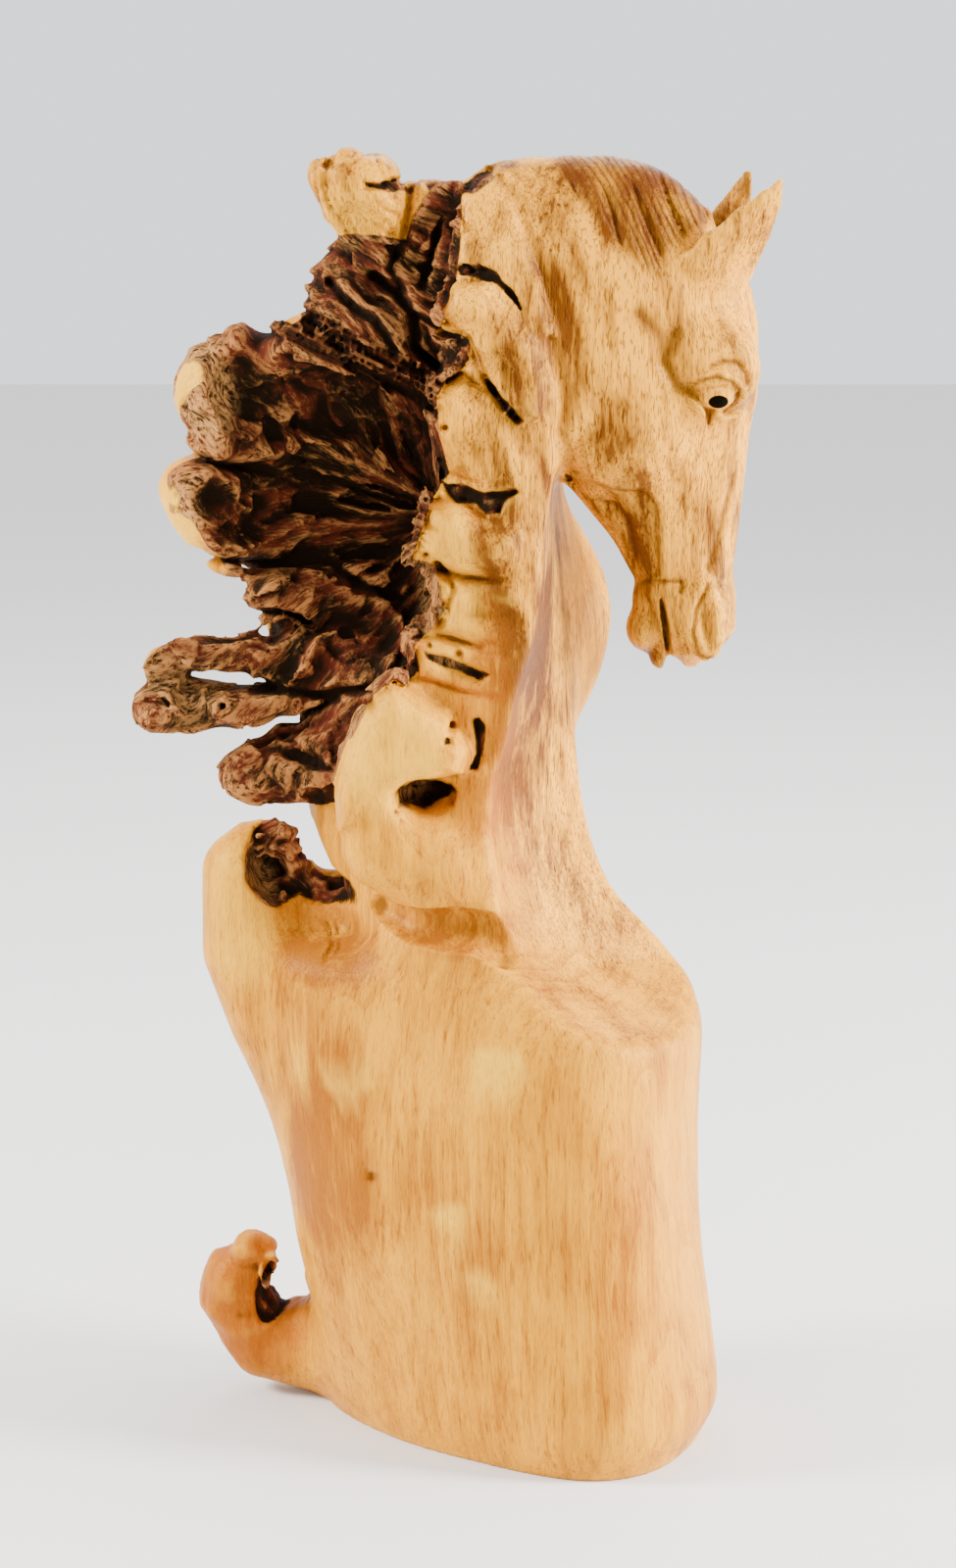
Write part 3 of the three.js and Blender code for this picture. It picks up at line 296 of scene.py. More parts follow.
# Lumps along the rim, from the top down, each with its nearest y
LUMPS = [
    ([(2, 360), (-1.5, 352), (6, 346), (10.5, 336), (17, 325), (22, 320), (27, 322), (28.5, 331),
      (26, 344), (17, 353), (11, 361)], -36),
    ([(-4.5, 330), (-3.5, 318), (0, 306), (12, 303), (21, 306), (23, 314), (18, 320), (12, 328), (4, 333)],
     -34),
    ([(-6, 296), (-12, 279.5), (-4, 278), (3.5, 275), (15, 275), (21, 280), (20, 288), (11, 291), (2, 297)],
     -37),
    ([(-5, 275), (-1, 262.5), (-2.5, 258), (9, 255), (19, 258), (22, 267), (19, 273), (9, 273)], -34),
    ([(-11, 255), (-8.5, 245), (3.5, 241), (15, 240), (17, 250), (9, 252), (-2.5, 255)], -34),
]
LOOP_OUTLINE = [
    (-23, 239), (-16.5, 244.5), (-1, 234), (6, 224), (4, 216), (-4, 213.5), (-17, 212), (-25, 204),
    (-33, 199), (-34, 208), (-29.5, 225),
]
KNOB_OUTLINE = [
    (-15, 396), (-31, 400.5), (-38, 396), (-39, 386), (-37, 379), (-31.5, 373.5), (-17, 363.5), (-11.5, 386),
]
PLANK_OUTLINE = [(-16, 390), (-20, 362), (-8, 354), (4, 358), (6, 390)]


def shape_trunk(s, depth):
    """The upright trunk, its shallow flutes, the curled knob at its foot and the branch stub on its back."""
    half = depth / 2
    s.add(upright([
        [0, -37, 81, 13 - half, half - 9, 2.6, -0.3],
        [14, -41, 84.5, 11 - half, half - 7, 2.6, -0.3],
        [34, -46, 82, 9 - half, half - 5, 2.7, -0.24],
        [60, -50, 78.5, 7 - half, half - 4, 2.8, -0.16],
        [95, -53, 75.5, 5 - half, half - 1, 3, -0.1],
        [130, -62, 73.5, 7 - half, half - 2, 3, -0.08],
        [165, -70, 60, 11 - half, half - 5, 2.8, 0],
    ], foot=-9, top=160, turn=-24, ease=20), 0)
    s.cut(limb([[-34, -66, 150, 22], [-26, -70, 90, 22], [-22, -70, 40, 18]]), 16)
    # the knob and the dark notch beside it
    s.add(limb([[-10, 16, 18, 26], [-38, 24, 15, 16], [-60, 26, 17, 13], [-70, 24, 32, 12]]), 14)
    s.add(limb([[-69, 22, 40, 11], [-63, 20, 48, 7]]), 5)
    s.add(egg([-66, 18, 50], [5, 7, 5], 20), 2)
    s.add(egg([-58, 12, 44], [4.5, 8, 7], 10), 2)
    s.cut(egg([-52.5, 8, 41], [3.2, 14, 9], 24), 2)
    s.cut(egg([-59, 4, 47], [1.6, 8, 5], -30), 1.5)
    # the stub and its hollow
    s.add(limb([[-36, 8, 92, 15], [-55, 8, 130, 15], [-62.5, 8, 152, 15.5], [-63, 8, 176, 15]]), 10)
    s.add(limb([[-60, 8, 184, 9], [-54, 6, 189, 5]]), 4)
    s.cut(egg([-54, -6, 182], [7.5, 15, 11], 20), 2)
    # the torn wall on the right of the stub's hollow
    s.add(limb([[-57, 6, 187, 7], [-52, 5, 190, 6], [-50, 6, 181, 6], [-46, 8, 172, 7]]), 2)
    # the broken ledge
    s.add(limb([[-48, 14, 158, 15], [-34, 10, 163, 14], [-20, 8, 164, 13]]), 6)


def shape_root(s):
    """The root behind the neck: its bowl with cupped lobes and ribs, the fingers and the split top."""
    s.add(egg([-12, 16, 284], [50, 32, 80], -4), 10)
    s.add(limb([[-60, 6, 316, 20], [-68, 5, 326, 16], [-64, 3, 343, 5.5]]), 6)
    s.add(egg([-62, 7, 290], [28, 18, 19], 24), 5)
    s.cut(egg([-31, -34, 292], [46, 54, 62]), 5)
    s.cut(egg([-54, -14, 322], [24, 21, 15], 40), 3)
    s.cut(egg([-54, -11, 291], [25, 17, 9.5], 14), 3)
    s.cut(egg([-42, -14, 272], [24, 18, 6], -16), 3)
    s.add(limb([[-14, 22, 300, 8], [-46, 14, 310, 5], [-76, 0, 309, 4.5]]), 3)
    s.add(limb([[-14, 23, 284, 8], [-44, 16, 282, 4.5], [-70, 4, 276, 5]]), 3)
    s.add(limb([[-16, 18, 262, 10], [-54, 6, 264, 8.5]]), 4)
    s.add(limb([[-10, 24, 318, 8], [-34, 14, 334, 5.5], [-44, 6, 342, 5]]), 3)
    s.add(limb([[-57, 5, 338, 6.5], [-42, 1, 343, 8], [-18, -3, 346, 10]]), 4)
    # fingers below the bowl, and the strut that joins them to the trunk
    s.add(limb([[-20, 14, 248, 12], [-56, 4, 246, 7], [-88, 0, 243, 6]]), 4)
    s.add(limb([[-20, 14, 236, 11], [-58, 4, 233, 8], [-91, 0, 229, 7.5]]), 4)
    s.cut(egg([-74, -8, 240], [20, 7, 3], 3), 2)
    s.add(limb([[-16, 10, 224, 13], [-44, 4, 213, 11.5], [-60.5, 2, 208, 9]]), 5)
    s.add(limb([[-24, 8, 222, 13], [-34, 4, 198, 10], [-22, -6, 170, 9]]), 5)
    s.cut(egg([-46, -8, 216], [14, 5, 3.5], 24), 2)
    # the knob at the very top, the split planks beside it and the slanting ribs below
    s.add(slab(KNOB_OUTLINE, -17, 10, 9), 3)
    s.add(egg([-24, -8, 387], [11, 13, 9], 30), 4)
    s.add(egg([-38, -7, 391.5], [4.5, 7, 5.5], 0), 1.5)
    s.cut(egg([-36, -14, 396], [3, 6, 1.6], -40), 1.5)
    s.add(limb([[-2, 2, 352, 14], [-4, 0, 380, 11]]), 4)
    s.add(egg([-18, 2, 352], [24, 14, 20], 30), 6)
    s.add(limb([[13, -10, 384, 10], [14, -15, 366, 12], [18, -18, 350, 10]]), 6)
    s.add(slab(PLANK_OUTLINE, -13, 8, 2), 1.5)
    s.cut(egg([-5, -16, 370], [2.4, 12, 12], 16), 1)
    s.cut(egg([-4, 0, 396], [11, 16, 4]), 3)
    # the lobe on the far side, seen past the neck, and bosses over the back
    s.add(egg([26, 24, 254], [24, 14, 37], 4), 6)
    s.add(egg([-28, 34, 316], [24, 14, 24]), 8)
    s.add(egg([-30, 33, 268], [22, 14, 22]), 8)
    s.add(egg([2, 34, 300], [20, 12, 30]), 8)
    s.add(egg([-8, 32, 226], [24, 14, 26], 20), 8)


def shape_neck(s):
    """The neck and the arch of its crest."""
    s.add(upright([
        [90, 0, 68, -36, 36, 2.4, 0],
        [112, -6, 72, -40, 40, 2.4, 0],
        [130, -12, 75, -42, 42, 2.3, 0],
        [142, -18, 73, -41, 41, 2.3, 0],
        [153, -22, 65, -40, 38, 2.3, 0],
        [168, -24, 53, -40, 35, 2.4, 0],
        [185, -24, 45, -38, 32, 2.5, 0],
        [205, -16, 40.5, -36, 30, 2.6, 0],
        [230, -6, 38, -34, 29, 2.8, 0],
        [262, 2, 36, -33, 28, 3, 0],
        [300, 3, 31.5, -32, 28, 3, 0],
        [330, 2, 34, -31, 27, 3, 0],
    ], foot=92, top=340, ease=12), 14)
    s.add(upright([
        [300, -2, 36, -28, 26, 2.8, 0],
        [325, -4, 60, -27, 24, 2.6, 0],
        [345, -4, 74, -26, 23, 2.5, 0],
        [365, -2, 78, -24, 21, 2.4, 0],
        [380, 2, 77, -20, 17, 2.3, 0],
        [388, 7, 70, -17, 14, 2.3, 0],
        [394, 11, 62, -13, 11, 2.3, 0],
        [398, 13, 53, -10, 8, 2.3, 0],
    ], foot=300, top=397, ease=6), 8)


def shape_rim(s):
    """Smooth lumps along the bowl's near rim with clefts between them, the looped lump over the trunk,
    and the breast hollowed like a spoon."""
    s.add(slab(RIM_OUTLINE, -29, -10, 4), 3)
    s.add(slab(RIM_TOP, -24.5, -6, 4, lean=0.28), 3)
    for outline, near in LUMPS:
        s.add(slab(outline, near, -18, 9), 4)
    # the scooped lower half of the first lump, and the dished faces of the next two
    s.cut(egg([17, -42, 334], [7, 10, 10], -30), 3)
    s.cut(egg([8, -43, 312], [10, 11, 8], 0), 4)
    s.cut(egg([9, -42, 263], [9, 11, 6], 0), 4)
    s.cut(egg([3, -40, 247], [11, 11, 5], 12), 3)
    flat = {"thin": [0, 1, 0], "flat": 1.25}
    s.add(slab(LOOP_OUTLINE, -45, -22, 10), 3)
    s.add(limb([
        [-18, -33, 230, 10], [-23, -32, 210, 11], [-19, -32, 193, 14], [-4, -31, 186, 15],
        [10, -27, 190, 12],
    ], **flat), 5)
    s.cut(egg([-7, -44, 209], [9.5, 22, 6.5], 8), 2.5)
    # the groove that sets the looped lump off from the trunk
    s.cut(limb([[-22, -22.5, 172, 4], [-13, -33.5, 169.5, 6], [0, -38.5, 169, 7], [9, -39.5, 168.5, 6.5],
                [17, -40, 162, 5]]), 1.2)
    s.cut(egg([11, -44, 222], [5, 9, 7]), 3)
    s.cut(hollow([
        [128, 66, -68, 92, -34, 2],
        [135, 51, -56, 82, -18, 3],
        [142, 38, -49, 75, -8, 4],
        [152, 25, -43, 66, 0, 5],
        [166, 16, -40, 55, 0, 4.5],
        [185, 13, -38, 46, 2, 4.5],
        [205, 12, -36, 41, 2, 4],
        [230, 17, -34, 38.6, 2, 3],
        [262, 26, -33, 36.8, 4, 2],
        [300, 30.5, -33, 32.5, 6, 0.5],
        [330, 42, -36, 42, 8, 0.3],
    ]), 3.5)


def shape_head(s, head_width, muzzle_width):
    """Skull, cheeks, nose and muzzle in one run of sections, with the jaw's hollow and the chin."""
    w, m = head_width / 2, muzzle_width / 2
    sections = [
        (244, 69, 78, m * 0.5, 2.2, 0), (249, 64, 83, m * 0.78, 2.4, 0.05),
        (256, 62, 87.5, m * 0.96, 2.4, 0.08), (264, 60, 87.5, m, 2.4, 0.1),
        (273, 55, 86.5, m * 0.92, 2.5, 0.12), (282, 50, 87.5, w * 0.62, 2.6, 0.2),
        (292, 42, 88.5, w * 0.72, 2.6, 0.26), (302, 34, 89.5, w * 0.84, 2.5, 0.3),
        (314, 28, 90.5, w * 0.94, 2.5, 0.28), (330, 26, 93, w, 2.4, 0.2),
        (345, 28, 93, w, 2.3, 0.16), (357, 34, 91, w * 0.92, 2.2, 0.12),
        (368, 42, 86, w * 0.78, 2.2, 0.05), (380, 50, 77, w * 0.55, 2.1, 0),
    ]
    s.add(upright([
        [z, back, front, HEAD_MIDDLE - half, HEAD_MIDDLE + half, square, taper]
        for z, back, front, half, square, taper in sections
    ], foot=243, top=381, ease=5), 7)
    for side in (-1, 1):
        def y(reach):
            return HEAD_MIDDLE + side * reach
        s.add(egg([50, y(w - 6.5), 320], [20, 8, 19], 20), 6)
        s.cut(limb([[45, y(w - 3), 290, 7.5], [59, y(w - 4.5), 270, 6.5]]), 1.5)
        s.cut(egg([80, y(w + 1), 290], [4, 9.5, 26], -3), 5)
    s.add(egg([59.5, HEAD_MIDDLE, 255], [5.5, m * 0.72, 7]), 3)
    s.add(limb([[62, HEAD_MIDDLE, 264, 8], [64.5, HEAD_MIDDLE, 247, 4.8]], thin=[1, 0, 0], flat=1.3), 3)


def shape_face(s, head_width, muzzle_width, eye, mouth_gap):
    """Brow, socket, eyeball and lids, nostril and mouth, on both sides of the head."""
    w, m, gap = head_width / 2, muzzle_width / 2, mouth_gap / 2
    for side in (-1, 1):
        def y(reach):
            return HEAD_MIDDLE + side * reach
        s.add(egg([77.5, y(w - 8), 336.5], [15.5, 8.2, 13.5], 20), 6)
        s.cut(egg([78.6, y(w + 3.5), 326.6], [7.6, 5.4, 4.4], 4), 1.2)
        s.add(egg([79.2, y(w - 4.0), 328], [eye, eye * 0.85, eye * 0.86]), 0.5)
        # the upper lid hangs over the eyeball, and the lower one lies flat under it
        s.add(limb([
            [72, y(w - 1.2), 329.5, 1.3], [76, y(w + 0.6), 332.6, 2.1], [81, y(w + 0.6), 333.4, 2.2],
            [85.5, y(w - 1.2), 331, 1.9], [87.4, y(w - 2.6), 327.5, 1.3],
        ]), 1.4)
        s.add(limb([
            [71, y(w - 1.0), 327, 1.1], [75, y(w - 0.8), 322.6, 1.3], [80.5, y(w - 1.2), 321.2, 1.4],
            [86, y(w - 2.6), 322.6, 1.2],
        ]), 1.6)
        s.add(egg([77, y(m - 2.8), 259], [6.5, 4, 13], -6), 3)
        s.cut(egg([77.4, y(m + 2.6), 258.5], [3.0, 4.0, 10.5], -6), 1.5)
        s.cut(egg([84.8, y(m - 1), 257], [2.8, 3, 3.2]), 1.5)
        s.cut(limb([
            [63.6, y(m + 1), 268, gap * 1.2], [65.6, y(m + 1), 258, gap * 2],
            [67.8, y(m + 1), 240, gap * 2.2],
        ], thin=[1, 0, 0.1], flat=1.9), 1)
        s.cut(egg([65.5, y(m - 1), 254], [gap, m - 3.5, 13], -8), 0.8)
    s.cut(egg([68.6, HEAD_MIDDLE, 241], [gap * 2.2, m + 8, 6], -12), 1)


def shape_ears(s, thickness):
    """Two pricked ears, each a flattened limb with its inside hollowed."""
    flat = 11 / (thickness / 2)
    s.add(limb([
        [73, -12, 357, 12], [81, -16, 366.5, 11.5], [88, -18.6, 376, 8.2], [93.8, -20.2, 384, 4.8],
        [97.5, -20.6, 390, 1.7],
    ], thin=[0.42, -0.86, -0.29], flat=flat), 3)
    s.add(limb([
        [74, 10, 358, 10], [80, 13, 369, 8.6], [85.5, 15, 379, 5.8], [88.8, 15.8, 387, 3],
        [90.3, 16, 391.2, 1.4],
    ], thin=[0.42, 0.86, -0.29], flat=flat), 3)
    s.cut(limb([[88, -25, 360, 5], [93, -26, 370, 4.5], [97, -26, 380, 3]]), 2)
    s.cut(limb([[86, 22, 362, 5], [91, 23.5, 373, 4.5], [92, 23, 382, 3]]), 2)


# Where each kind of surface lies, from 0 to 1

def blob(x, z, centre, half, turn=0.0):
    """1 in the middle of an ellipse seen from the side, falling to 0 at its edge."""
    cos, sin = math.cos(math.radians(turn)), math.sin(math.radians(turn))
    u = (cos * (x - centre[0]) - sin * (z - centre[1])) / half[0]
    v = (sin * (x - centre[0]) + cos * (z - centre[1])) / half[1]
    return 1 - smoothstep(u * u + v * v, 0.3, 1.0)


# Outlines of the patches of bark and char left in the clefts of the near rim
CLEFTS = [
    [(2, 365), (4, 367), (9, 367.5), (15, 364.5), (20.5, 358.5), (23, 352.5), (20.5, 352), (18, 355),
     (13.5, 359.5), (8, 362), (3.5, 362.5)],
    [(9.5, 335), (11, 334.5), (14.5, 331), (19, 326), (22.5, 321), (19.5, 319.5), (16.5, 322),
     (12.5, 326.5), (10, 331)],
    [(-1, 300.5), (3.5, 302), (10.5, 301), (20, 302), (22, 300), (18.5, 296.5), (16, 291.5),
     (10.5, 292.5), (7.5, 296), (2, 296.5)],
    [(6, 232.5), (9, 234), (11.5, 230.5), (12, 226), (11, 220.5), (8.5, 216.5), (5, 216.5),
     (6.5, 222.5), (6, 228)],
    [(-2.5, 229), (1, 228.5), (1, 225.5), (-1.5, 226)],
    [(-15.5, 210.5), (-7.5, 212), (0.5, 213), (3, 210.5), (1, 206), (-7.5, 203.5), (-15, 206)],
    [(-9.5, 392.5), (-4, 391.5), (3.5, 391), (10.5, 394.5), (16, 396.5), (13, 392.5), (7, 388),
     (0, 386.5), (-6, 388)],
    [(-25.5, 390.5), (-20, 391.5), (-12.5, 390.5), (-11.5, 388), (-18.5, 386.5), (-24.5, 388)],
    [(-10, 254.5), (-4, 252.5), (3.5, 249.5), (12, 245.5), (9, 243), (-0.5, 246), (-7.5, 249)],
]
# The bare outer edge of the two big lobes
LOBE_EDGE = [
    (-64, 352), (-71.5, 348), (-80, 331), (-84.5, 319), (-82, 310), (-87, 303), (-86, 290), (-80, 280),
    (-72, 272), (-65, 267),
]
# Ellipsoids that hold the raw wood: centre, half sizes, turn
RAW = [
    ([-31, -34, 292], [50, 70, 66], 0), ([-58, -12, 325], [32, 44, 25], 40),
    ([-57, -11, 291], [32, 40, 17], 14), ([-46, -14, 270], [32, 36, 15], -16),
    ([-50, -6, 230], [49, 30, 31], 0), ([-18, -8, 351], [31, 34, 21], 30),
    ([-3, -12, 371], [9, 22, 20], 12),
]


def bark_at(x, y, z):
    """How raw the wood is, from 0 where it is sanded to 1. The first array is the torn fibre of the bowl
    and fingers, and the second is the bark left in clefts."""
    wander = 5 * noise(x, y, z, 3, 15) + 2.5 * noise(x, y, z, 4, 5)
    raw = np.zeros(x.shape)
    for centre, half, turn in RAW:
        depth = -egg(centre, half, turn)[2](x, y, z) + 0.25 * wander
        raw = np.maximum(raw, smoothstep(depth, -1.2, 1.2))
    rim = np.maximum(outline_depth(x, z, RIM_OUTLINE), outline_depth(x, z, RIM_TOP))
    raw *= 1 - np.maximum.reduce([
        smoothstep(rim + 0.12 * wander, -0.8, 0.8) * smoothstep(-y, 8, 12),
        smoothstep(outline_depth(x, z, LOOP_OUTLINE), -1.5, 0.5) * smoothstep(-y, 20, 24),
        blob(x, z, [-20, 192], [19, 24]) * smoothstep(-y, 14, 20),
        1 - smoothstep(line_distance(x, z, LOBE_EDGE) + 1.1 * wander, 0.5, 3.5),
    ])
    cleft = np.zeros(x.shape)
    near = np.nonzero((x > -32) & (z > 196) & (y < -3))[0]
    for outline in CLEFTS:
        depth = outline_depth(x[near], z[near], outline) + 0.32 * wander[near]
        share = smoothstep(depth, -0.8, 1.6) * smoothstep(-y[near], 3, 8)
        cleft[near] = np.maximum(cleft[near], share)
    stub = egg([-52, -4, 183], [11.5, 22, 15], 20)[2]
    stub = smoothstep(-stub(x, y, z) + 0.25 * wander, -1, 1) * smoothstep(x + z, 108, 114)
    notch = smoothstep(blob(x + 0.5 * wander, z + 0.5 * wander, [-54, 40], [8, 15], 20), 0.1, 0.5)
    ledge = blob(x + wander * 0.3, z, [-39, 174], [12, 7]) * smoothstep(10 - y, 0, 6)
    return raw, np.maximum.reduce([cleft, stub, 0.8 * notch, 0.8 * ledge])


def fibre_frame(x, y, z):
    """Coordinates in millimetres across and along the torn fibre: round and out from the bowl's middle,
    and at a slant over the block above it."""
    dx, dz = x + 2, z - 288
    warp = 3 * noise(x, y, z, 5, 26) + 0.8 * noise(x, y, z, 15, 7)
    upper = smoothstep(z + 0.5 * x, 318, 332)
    across = np.arctan2(dz, -dx) * 34 * (1 - upper) + (0.62 * x + 0.78 * z) * upper
    along = np.hypot(dx, dz) * (1 - upper) + (0.78 * x - 0.62 * z) * upper
    return across + warp, along, y + warp


def torn_fibre(x, y, z):
    """Relief of the raw wood, mostly from -1 to 1: ridges in three sizes, 1 - 2|noise|^0.8 in the fibre's
    coordinates, and flakes that step down across it."""
    across, along, depth = fibre_frame(x, y, z)
    total = np.zeros_like(x)
    for size, part, seed in ((12.0, 0.62, 6), (5.2, 0.34, 7), (2.6, 0.14, 8)):
        wave = np.abs(noise(across / size, along / (size * 3.6), depth / size, seed))
        total += part * (1 - 2 * wave ** 0.8)
    flake = across / 7 + 0.8 * noise(x, y, z, 16, 9)
    total += 0.3 * (0.5 - (flake - np.floor(flake)))
    return total


# Cracks in the near side: points (x, z), half width, depth, and the y that they lie in front of
CRACKS = [
    ([(-84, 310), (-71, 305.5), (-48, 299.5), (-37, 295), (-21, 286)], 1.6, 4, 14),
    ([(-78, 277), (-61, 274), (-37, 274), (-28, 267), (-16, 263)], 1.6, 3.5, 14),
    ([(-66, 258), (-61, 259), (-51, 259.5), (-44, 256)], 1.0, 3, 12),
    ([(-34, 341.5), (-29.5, 335.5), (-17.5, 329), (-5.5, 323)], 1.9, 3, 8),
    ([(-35.5, 360), (-29, 353.5), (-21, 348), (-16, 340)], 1.5, 4, 2),
    ([(-22.5, 362), (-15.5, 357), (-11.5, 350.5), (-10, 341), (-4, 336)], 1.5, 5.5, 2),
    ([(-11, 351.5), (-4, 348), (3.5, 344)], 1.1, 3.5, 2),
    ([(-41.5, 348.5), (-36.5, 345.5), (-31, 343)], 1.1, 3.5, 4),
    ([(-11.5, 387), (-13, 376), (-17, 364), (-14, 358)], 1.2, 3, 0),
    ([(12, 394), (19, 386), (27.5, 362), (30.5, 347), (32.5, 330), (32, 316)], 1.7, 0.9, 0),
    ([(-24, 388), (-18.5, 389), (-13, 391)], 1.0, 2, 20),
    ([(-80, 241), (-62.5, 237.5), (-39, 234), (-23.5, 237.5)], 1.5, 4, 20),
    ([(-62, 222), (-48, 226), (-34.5, 233)], 1.3, 4, 20),
    ([(10, 334), (13.5, 329), (17, 324), (20.5, 321)], 1.0, 3.5, 0),
    ([(-3, 278), (1, 272), (-1, 264)], 1.0, 1.5, 0),
    ([(-57, 45), (-55.5, 36), (-57, 27)], 1.4, 3, 40),
    ([(-38.5, 163), (-36.5, 158.5), (-38, 154)], 0.7, 0.8, 0),
    ([(-35.5, 162), (-34.5, 158), (-35.5, 155)], 0.7, 0.7, 0),
]
# Small pits: centre (x, z), radius, depth
PITS = [
    ((-24, 90), 2.2, 1.6), ((-26.5, 94), 1.4, 0.8), ((-7, 281.5), 1.3, 2.0), ((0.5, 229.8), 1.4, 2.2),
    ((-3, 306), 1.2, 1.5), ((-1, 319), 1.3, 2.0), ((-6, 254), 1.2, 1.5), ((3, 251.4), 1.5, 1.3),
    ((-16, 205), 0.9, 1.2), ((-14.5, 202.5), 0.8, 1.0),
]


# Lines cut in the side of the head: points (x, z), half width, depth. A negative depth stands proud.
FACE_LINES = [
    ([(41.5, 302.5), (47, 300), (53, 299.3), (57, 299), (60, 297.5), (62, 294.5), (63, 288), (63, 280),
      (63.3, 273)], 0.8, 0.7),
    ([(46.5, 295), (50, 295), (53.5, 290.5), (55, 285), (56, 280), (55.5, 271)], 0.8, 0.8),
    ([(57, 269), (60, 270.5), (63.5, 271.2), (70, 271.2), (69.5, 268)], 0.8, 0.7),
    ([(61, 266.5), (63, 261), (65, 253.5), (66, 247)], 1.0, -0.6),
    ([(85.5, 302.5), (83.5, 296), (81.5, 286.5), (78, 274.5)], 0.9, 0.7),
    ([(78, 270), (74.5, 262.5), (73.5, 255), (75.5, 248.5), (79, 247.3)], 0.8, 0.8),
    ([(77.5, 336.5), (81, 338), (85, 337.5), (88, 334), (88.3, 331)], 0.75, 0.8),
    ([(71, 329.5), (74.5, 332.5), (79, 333.5), (83.5, 332), (86, 329.5), (85.3, 326), (82, 322.8)],
     0.7, 0.8),
    ([(70.5, 328.5), (74, 324.6), (76.5, 323), (80, 322.6)], 0.8, -0.5),
    ([(82, 322.5), (86, 322.3), (90, 323)], 0.7, 0.4),
    ([(66, 346), (64, 338), (67.5, 331), (72, 328.5)], 2.4, 1.5),
    ([(56, 352), (62, 346), (64, 338)], 2.5, 0.8),
    ([(36, 330), (33, 318), (36, 306), (43, 300)], 2.5, 0.5),
]
# The tear groove under the eye, and the panel of the jaw, which lies deeper than the cheek
TEAR = [(75.5, 324.2), (79.2, 323.5), (77.4, 317.5)]
JAW_PANEL = [
    (41, 302), (47, 299.8), (57, 299), (60.5, 297), (62.5, 293), (63, 280), (63.2, 272), (57, 269.5),
    (54, 272), (40, 292), (34, 304),
]


MANE_OUTLINE = [
    (29, 400), (50, 400), (72, 396), (80, 384), (78, 378), (70, 373), (65, 369), (60, 361.5), (52.5, 368),
    (41, 381), (33, 390),
]


def mane_depth(x, y, z, groove, pitch):
    """Depth of the cut locks: the mane stands a little proud, with cusped grooves across it at a slant and
    finer hair lines between them."""
    inside = smoothstep(outline_depth(x, z, MANE_OUTLINE), 0, 2.5)
    bend = 1.5 * noise(x, y, z, 9, 22)
    along = x * 0.9 + z * 0.4 + bend
    lock = (1 - np.abs(np.sin(np.pi * along / pitch))) ** 2
    hair = 1 - np.abs(np.sin(np.pi * (along + 0.8 * bend) / (pitch / 3.6)))
    crest = 1 - 0.75 * smoothstep(z - 0.08 * np.abs(x - 45), 386, 393)
    return inside * (crest * (1.1 * groove * lock + 0.55 * hair ** 1.5) - 0.6)


def relief(x, y, z, sizes):
    """What the finer carving adds to the field, in millimetres: more than zero is cut away."""
    bark, cleft = bark_at(x, y, z)
    smooth = 1 - np.maximum(bark, cleft)
    total = (0.8 - sizes.bark_relief * torn_fibre(x, y, z)) * bark
    total += (2.2 + 1.7 * noise(x, y, z, 17, 2.6)) * cleft * (1 - bark)
    # wrinkles of the knob at the foot, and the uneven skin of the root
    foot = blob(x, z, [-66, 34], [28, 32]) * (1 - cleft)
    total += foot * (0.9 * noise(x, y, z, 21, 7) + 0.5 * np.abs(noise(x / 3, y / 3, z / 5, 22)))
    root = smooth * smoothstep(z, 170, 200) * (1 - smoothstep(x, 18, 34))
    total += 0.9 * root * noise(x, y, z, 10, 9)
    total += 0.35 * root * np.abs(noise(x / 3.2, y / 3.2, z / 9, 20))
    total += 0.35 * smooth * noise(x / 26, y / 26, z / 34, 11)

    def part(where):
        """The numbers of the points that lie there, and their x, y and z."""
        rows = np.nonzero(where)[0]
        return rows, x[rows], y[rows], z[rows]

    # a crease along the edges of the lumps
    rows, px, _, pz = part((x > -16) & (x < 34) & (z > 236) & (z < 366) & (y < -18))
    for outline, _ in LUMPS:
        crease_line = np.exp(-(outline_depth(px, pz, outline) + 1.2) ** 2)
        total[rows] += 0.9 * (1 - smoothstep(px, 6, 20)) * crease_line
    # curved wrinkles of the knob at the top
    rows, px, py, pz = part((x < -9) & (z > 362))
    arc = np.hypot(px + 4, pz - 396) + 2.5 * noise(px, py, pz, 18, 9)
    wrinkle = np.abs(noise(arc / 2.6, py / 9, (px + pz) / 14, 19))
    total[rows] += (0.9 - 1.6 * wrinkle ** 0.7) * smooth[rows]
    # locks of the mane
    rows, px, py, pz = part((x > 26) & (x < 84) & (z > 354))
    total[rows] += mane_depth(px, py, pz, sizes.mane_groove, sizes.mane_pitch)
    # cracks and pits of the near side
    rows, px, py, pz = part(y < 12)
    wander = 1.2 * noise(px, py, pz, 13, 6)
    for points, width, depth, behind in CRACKS:
        share = np.exp(-(line_distance(px + wander, pz - wander, points) / width) ** 2)
        total[rows] += depth * share * smoothstep(behind - py, 0, 5)
    for (cx, cz), radius, depth in PITS:
        share = np.exp(-((px - cx) ** 2 + (pz - cz) ** 2) / radius ** 2)
        total[rows] += depth * share * smoothstep(-py, 8, 14)
    # the jaw's panel, the tear groove and the lines of the face, on both sides of the head
    rows, px, py, pz = part((x > 26) & (z > 236) & (z < 362))
    cuts = 1.7 * smoothstep(outline_depth(px, pz, JAW_PANEL), -0.3, 0.9)
    cuts += 2.0 * smoothstep(outline_depth(px, pz, TEAR), -0.6, 0.8)
    for points, width, depth in FACE_LINES:
        cuts += depth * np.exp(-(line_distance(px, pz, points) / width) ** 2)
    total[rows] += cuts * smoothstep(np.abs(py - HEAD_MIDDLE), 3, 7)
    return total


# From the field to a mesh

